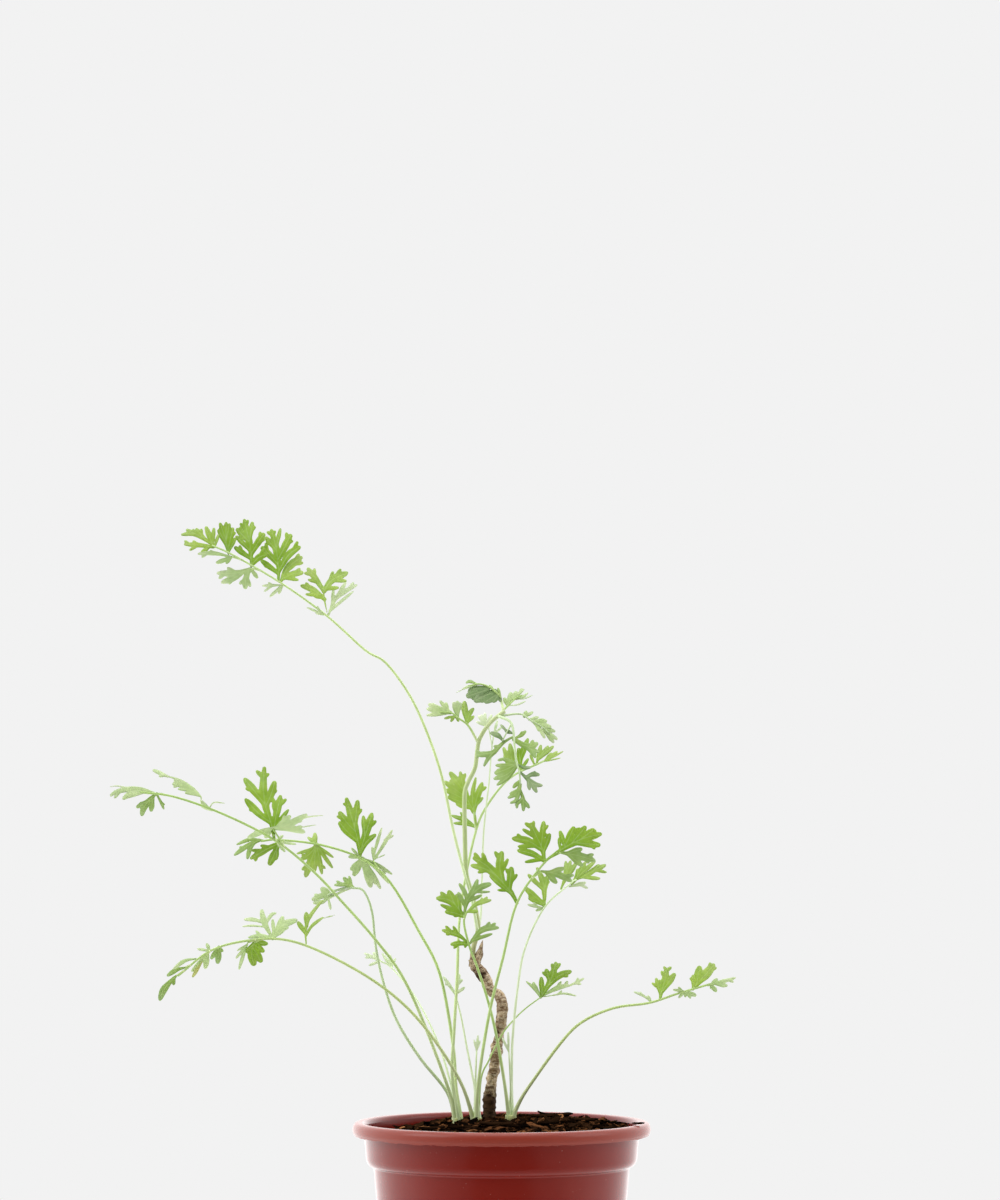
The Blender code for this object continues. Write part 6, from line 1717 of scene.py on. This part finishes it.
     (0.6, -11, 183.3), (6.7, -14, 207.3), (17.6, -17, 223.6), (24.4, -20, 229.3)], blades=[
     (6.7, 207.2, 0.1, 0.3, BRIGHT, [(2.2, [0, 0, -2.4, 4.6, -7, 9.8, -13.2, 16.4, -19.3, 20],
      [-18.5, 21.8, -15.1, 22]), (1.6, [-8.4, 11.6, -14, 15, -20.3, 16.6], [-17.1, 13.4]),
      (2, [-6, 8.6, -7.6, 15.9, -6.5, 22.8], [-9.6, 22.5, -3.8, 19.5]), (1.9, [-3.4, 6, -2.4, 15.8],
      [-4.7, 14.9, 0.1, 12.6]), (1.2, [-2, 3.8, -6, 7, -12, 12], [-8.1, 10.5, -8.6, 5.7])]),
     (18.7, 225.7, 0.1, 0.3, BRIGHT, [(2, [0, 0, -0.8, 4.6, -3.1, 9.8, -6.2, 16.6],
      [-8.4, 16.4, -4.7, 17.2, -9.7, 13.9]), (1.6, [-1.4, 6.6, -0.3, 17.4], [1.5, 15.4]),
      (1.5, [-0.6, 3.6, 2.4, 12], [0.6, 11.8]), (1.9, [-1.4, 5, -7, 8.6, -14.3, 9.8], [-11.8, 11.6, -11.8, 6.2]),
      (1.7, [0, 0, -5.6, 3.2, -12, 4.6], [-8.7, -0.6, -10, 6.4])]),
     (17.4, 221.1, 0.2, -0.9, MID, [(1.7, [0, 0, 6.9, -1.3, 13.3, -4.4], [14.1, -1.7]),
      (1.4, [3, -0.6, 10, 1.4]), (1.5, [2.4, -1, 6.6, -5.1])]),
     (25.9, 229.3, 0.2, -0.7, MID, [(1.9, [0, 0, 7.2, -1.3, 15, -3.6], [14.1, -0.8, 12, -4.6]),
      (1.5, [2.6, -0.4, 9.2, 1.6]), (1.5, [3.2, -0.8, 9.4, -5.9])]),
     (24.4, 229.3, 0.1, 0.3, BRIGHT, [(1.1, [-5.7, -3.6, 0, 0, 5, 3.3]),
      (2.2, [2, 1.6, 5.1, 3.3, 11.3, 6.2, 19.4, 8.2], [16.6, 9.6]), (1.7, [9.6, 5.4, 16, 10.2]),
      (1.8, [6, 3.8, 12.4, 11.5], [9.2, 9.8]), (1.8, [8, 4.2, 18.8, 3.2], [16.2, 1.6]), (1.8, [3, 2.2, 7.3, 11.3],
      [9.9, 10.6]), (1.3, [3, 3, 1, 9.5]), (0.9, [1.2, 1, 0.5, 6.4])])]),
    "leaf_right_pale": dict(on=("right", 45), thick=0.85, run=[(4.6, 0.3, 119), (4.4, 2, 130), (4.8, 2.4, 148),
     (6.9, 2.6, 169.1), (10.1, 3, 187.2), (18.5, 4, 205.1), (29.8, 5, 215.6), (32.6, 6, 217.5)], blades=[
     (18.4, 205.1, 0.1, 0.3, FRESH, [(1.6, [0, 0, 0.3, 5.7, -0.5, 11.8, -3.1, 17.8]), (1.5, [0, 6.4, 1.5, 14],
      [2.4, 11.6]), (1.3, [-0.2, 8, -7, 14.8]), (1.6, [0, 1.8, -4.4, 5.4, -8.6, 9.2], [-6.6, 5.2]),
      (1.2, [-0.3, 1.4, -6.8, 4.4])]),
     (18.4, 205.1, 0.1, -0.3, PALE, [(0.9, [0, 0, -7.2, 1.5], [-4.4, 2.4]), (0.8, [0, 0, -3.6, -1.2])]),
     (25.9, 213.4, 0.1, 0.4, FRESH, [(1.3, [0, 0, 2, 5.7, 2.1, 12.3]), (1.2, [1.6, 4, 4.3, 12.5]),
      (1.3, [1.2, 3, 7.1, 12])]),
     (30.5, 215.4, 0.1, 0.4, FRESH, [(1.3, [0, 0, 2.4, 3.4, 2.6, 6.9]), (1.3, [0.8, 1, 6.3, 10]),
      (1.2, [1.8, 2.4, 10.5, 10.4])]),
     (32.6, 217.5, 0.1, 0.4, FRESH, [(1.4, [0, 0, 6.2, 3.1, 10, 6.6]), (1.3, [5, 2.6, 13, 6.5], [13.3, 3.1]),
      (1.1, [3, 1, 10.5, 0.4])]),
     (29.5, 214.4, 0.1, -0.5, PALE, [(1.1, [0, 0, 7.4, 1.8], [8.2, -0.8])])]),
    "leaf_right_small": dict(on=("middle", 54), thick=0.6, run=[(-9, -2, 130.6), (-5.7, -0.5, 138.4),
     (-3.1, 0.8, 143.8), (0.6, 2, 150.6), (4.8, 5.2, 155.8), (10.2, 8, 161.1), (17.2, 11, 166.3)], blades=[
     (17, 166.1, 0.1, 0.4, BRIGHT, [(1.8, [0, 0, 3, 4.7, 5.3, 10, 6.8, 15.6], [4.9, 14.6, 8.6, 14.8]),
      (1.5, [4, 7.2, 2.4, 12.2], [0.8, 11]), (1.4, [0.6, 1, 0.3, 9]), (1.7, [2.8, 4.6, 8, 9.4, 13.6, 11.5],
      [11.9, 9.2])]),
     (17, 166.1, 0.1, 0.6, SILVER, [(1.3, [0.6, 0.6, 7, 4, 12.5, 5.4], [11.8, 7, 9, 7]),
      (0.8, [12.2, 5, 15.5, 6.5, 19.1, 8.4], [16.4, 8.6, 17.8, 5.8]), (0.6, [5.6, 1, 10.5, 1.7, 15.8, 0.6],
      [9.4, 3]), (0.3, [0.4, 0.2, 6.4, 1]), (0.8, [0, 0.3, -3.5, 4.6, -6.4, 7.1]),
      (1.1, [0, 0.4, -1.8, 3.4, -3.3, 6.8])])]),
    "leaf_right_far": dict(on=("right", 315), run=[(7.6, -3.4, 120.1), (12.4, -5, 127.9), (25.7, -8, 146.1),
     (35.1, -10, 155.4), (49, -12, 161.5), (64.3, -13, 163.7), (76.9, -14, 167.8), (91.1, -15, 172)], blades=[
     (65.1, 164.2, 0.2, 0.5, PALE, [(0.8, [0, 0, -3.5, 2.8, -7.6, 4.4], [-4.7, 4.3]),
      (0.9, [0, 0, -1.4, 2.6])]),
     (69.1, 165.5, 0.1, 0.3, FRESH, [(1.8, [0, 0, 0.8, 4, 2.3, 9, 2.9, 13.6], [1.7, 14, 4.8, 13.8, 0.6, 12]),
      (1.7, [1, 3.4, 3.6, 7, 6.6, 11.2]), (1.2, [0.3, 1.6, -1.8, 9.2], [-3.6, 7, -0.1, 8.2])]),
     (83.4, 169.8, 0.1, 0.3, FRESH, [(2.3, [0, 0, 3, 3.6, 6.2, 7, 9.5, 11], [10.2, 9.2, 7.5, 11.4]),
      (2, [1.4, 1.8, 3, 9.8], [1.5, 8]), (1.1, [0.2, 0.4, 0, 6.2], [-1.2, 4.8])]),
     (80.4, 168.7, 0.2, -0.5, SILVER, [(0.8, [0, 0, -5.8, 0.8], [-3.4, 2]), (0.8, [-0.6, -0.2, -3.3, -2.8]),
      (1.2, [0, -0.2, 4.4, -1.8], [2, -3]), (0.8, [0, -0.2, -0.4, -2.4])]),
     (89.8, 171.2, 0.1, 0.3, SILVER, [(1, [0, 0, 5, 1.6, 9, 2.5, 12.4, 3.6], [11.4, 1.6]),
      (1.1, [1.6, 0.5, 4.2, 3]), (1.2, [3.6, 0.8, 8.6, 0]), (1.2, [1.6, 0.2, 3.8, -2.4], [1.3, -1.2])])]),
    "leaf_young_back": dict(on=("left", 72), thick=YOUNG, run=[(-24.2, 11, 135.8), (-30.3, 18, 152.4),
     (-38.6, 26, 167.6), (-47.8, 32, 178.9), (-53, 34, 182)], blades=[
     (-47.8, 178.9, 0.2, 0.4, FAINT, [(1, [0, 0, -1, 6]), (0.9, [0, 0, -4.4, 6.6]), (0.7, [0, 1, 1.6, 4.4])]),
     (-53, 182, 0.2, 0.3, FAINT, [(1, [0, 0, -3, 3.8]), (0.9, [0, 0, -7, 3.5], [-6.6, 1.4]),
      (0.8, [0, 0, -5, -2])])]),
    "leaf_young_middle": dict(on=("middle", 126), thick=YOUNG, run=[(-11.6, -1, 125.3), (-13.3, 1.5, 134.9),
     (-15.5, 5, 146.2), (-17.5, 9, 156.9), (-20, 11, 167)], blades=[
     (-20, 167, 0.1, 0.3, FAINT, [(1.1, [0, 0, 1.6, 9.6], [3, 7]), (0.9, [0, 0.6, 4, 3.6]),
      (1, [0, 0.4, -5.6, 8.4], [-4.6, 5])])]),
    "leaf_young_front": dict(on=("middle", 342), thick=YOUNG, run=[(-11.3, -4.4, 127.5),
     (-10.9, -4.6, 142.8)], blades=[
     (-10.9, 142.8, 0.1, 0.2, FAINT, [(0.7, [0, 0, 0.6, 7]), (0.6, [0, 0, 1.6, 4.6]),
      (0.6, [0, 0, -1.2, 5])])]),
    "leaf_young_right": dict(on=("right", 135), thick=YOUNG, run=[(4, -1.5, 125), (3.2, -1.8, 142.3)], blades=[
     (3.2, 142.3, 0.1, 0.2, FAINT, [(0.7, [0, 0, -0.4, 9]), (0.7, [0, 0, -3, 6.4])])]),
}

# Bark chips on the soil: x, y, bearing, length, width, thickness.
CHIPS = {
    "chip_front_left": (-30, -20, 25, 12, 3.4, 1.4), "chip_front": (-2, -26, -12, 14, 3.6, 1.5),
    "chip_front_right": (20, -24, 35, 11, 3.2, 1.3), "chip_right": (36, -6, -30, 13, 4.0, 1.4),
    "chip_back_right": (24, 22, 15, 14, 3.6, 1.5), "chip_back": (6, 36, -20, 12, 3.4, 1.3),
    "chip_back_left": (-26, 30, 40, 12, 3.8, 1.4), "chip_left": (-40, 4, -65, 11, 3.2, 1.3),
    "chip_middle_right": (17, 2, -8, 12, 3.0, 1.3), "chip_far_right": (46, -24, 60, 9, 3.0, 1.2),
}

STALKS = {"leaf_top_long": StalkTone.LIGHT, "leaf_back_right": StalkTone.LIGHT,
          "leaf_left_low": StalkTone.OLIVE, "leaf_right_far": StalkTone.OLIVE,
          "leaf_left_inner": StalkTone.SILVERY, "leaf_shoot_right": StalkTone.SILVERY,
          "leaf_shoot_hanging": StalkTone.SILVERY,
          "leaf_thin_behind": StalkTone.PALE, "leaf_right_pale": StalkTone.PALE}
SLOTS = {"leaf_shoot_crest": "leaf_silver", "leaf_shoot_hanging": "leaf_silver", "leaf_shoot_right": "leaf_silver",
         "leaf_left_inner": "leaf_silver", "leaf_thin_behind": "leaf_pale", "leaf_shoot_pale": "leaf_pale"}


def crown_top(soil: Soil, name: str) -> float:
    """Height of a crown's top."""
    return soil.top(*CROWNS[name]) + 0.4


def foot_of(soil: Soil, spec: tuple, width: float) -> list[Vector]:
    """Where a stalk starts.

    Args:
        soil: The soil that the crowns stand in.
        spec: A crown's name and the bearing on it, or the place on the shoot.
        width: The stalk's thickness.

    Returns:
        The first points of its route, in millimetres.
    """
    if spec[0] == "shoot":
        _, percent, bearing = spec
        route = [plant_point(*p) for p in SHOOT]
        at = route[min(len(route) - 1, round(percent / 120 * (len(route) - 1)))]
        a = math.radians(bearing)
        return [at + Vector((math.cos(a), math.sin(a), 0)) * (0.5 + width / 4)]
    name, bearing = spec
    count = sum(1 for leaf in LEAVES.values() if leaf["on"][0] == name)
    ring = 1.7 / (2 * math.sin(math.pi / count))
    x, y = CROWNS[name]
    a = math.radians(bearing)
    top = crown_top(soil, name)
    return [Vector((x + 0.4 * ring * math.cos(a), y + 0.4 * ring * math.sin(a), top - 5)),
            Vector((x + ring * math.cos(a), y + ring * math.sin(a), top + 0.3))]


def main() -> None:
    """Builds every sub-assembly in order."""
    finishes = Finishes(PotPlastic().build(), Compost().build(),
                        BarkFlake("dark_bark", (0.002, 0.0013, 0.001), (0.13, 0.052, 0.02)).build(),
                        BarkFlake("tan_bark", (0.012, 0.006, 0.003), (0.30, 0.13, 0.05)).build(),
                        StemBark().build(), GreenStalk().build(), Foliage().build())
    grower, scatter = StalkGrower(), FlakeScatter()
    Studio().build()
    pot = Pot()
    pot.build(finishes)
    soil = Soil(pot)
    soil.build(scatter, finishes)
    Splinters(soil, CHIPS).build(finishes)
    for name, (x, y) in CROWNS.items():
        Crown(f"crown_{name}", x, y, crown_top(soil, name)).build(finishes)
    WoodyStem(WOOD).build(grower, finishes)
    shoot = Gathering()
    route = smooth_route([plant_point(-12.4, 8, 181), *(plant_point(*p) for p in SHOOT)], 6)
    sizes = {"Foot Width": 0.0023, "End Share": 0.78, "Flare": 0.0002, "Flare Length": 0.01, "Facets": 14}
    shoot.add(*stalk_points(grower, [route], sizes, StalkTone.SHOOT, finishes.stalk), 0)
    dress(shoot.make("green_shoot_look", [finishes.stalk]), [], ["green_shoot"])
    fibre = [Vector((x, y, soil.top(x, y) + 0.9)) for x, y in ((-18.6, -4), (-18.1, -10), (-18.9, -17), (-18.2, -24))]
    root = Gathering()
    sizes = {"Foot Width": 0.001, "End Share": 0.7, "Flare": 0.0, "Flare Length": 0.01, "Facets": 8}
    root.add(*stalk_points(grower, [smooth_route(fibre, 6)], sizes, StalkTone.OLIVE, finishes.tan_bark), 0)
    dress(root.make("root_fibre_look", [finishes.tan_bark]), [], ["root_fibre"])
    for number, (name, spec) in enumerate(LEAVES.items()):
        width = 1.3 * spec.get("thick", 1.0)
        young = name.startswith("leaf_young")
        on_shoot = spec["on"][0] == "shoot"
        Leaf(name, foot_of(soil, spec["on"], width), spec["run"], spec["blades"],
             STALKS.get(name, StalkTone.PALE if young else StalkTone.GREEN), width * (1.05 if on_shoot else 1.2),
             0.6, 0.1 if on_shoot else 0.55, SLOTS.get(name, "leaf_pale" if young else "leaf"),
             number + 1).build(grower, finishes)


if __name__ == "__main__":
    logging.basicConfig(level=logging.INFO, format="%(name)s: %(message)s")
    main()
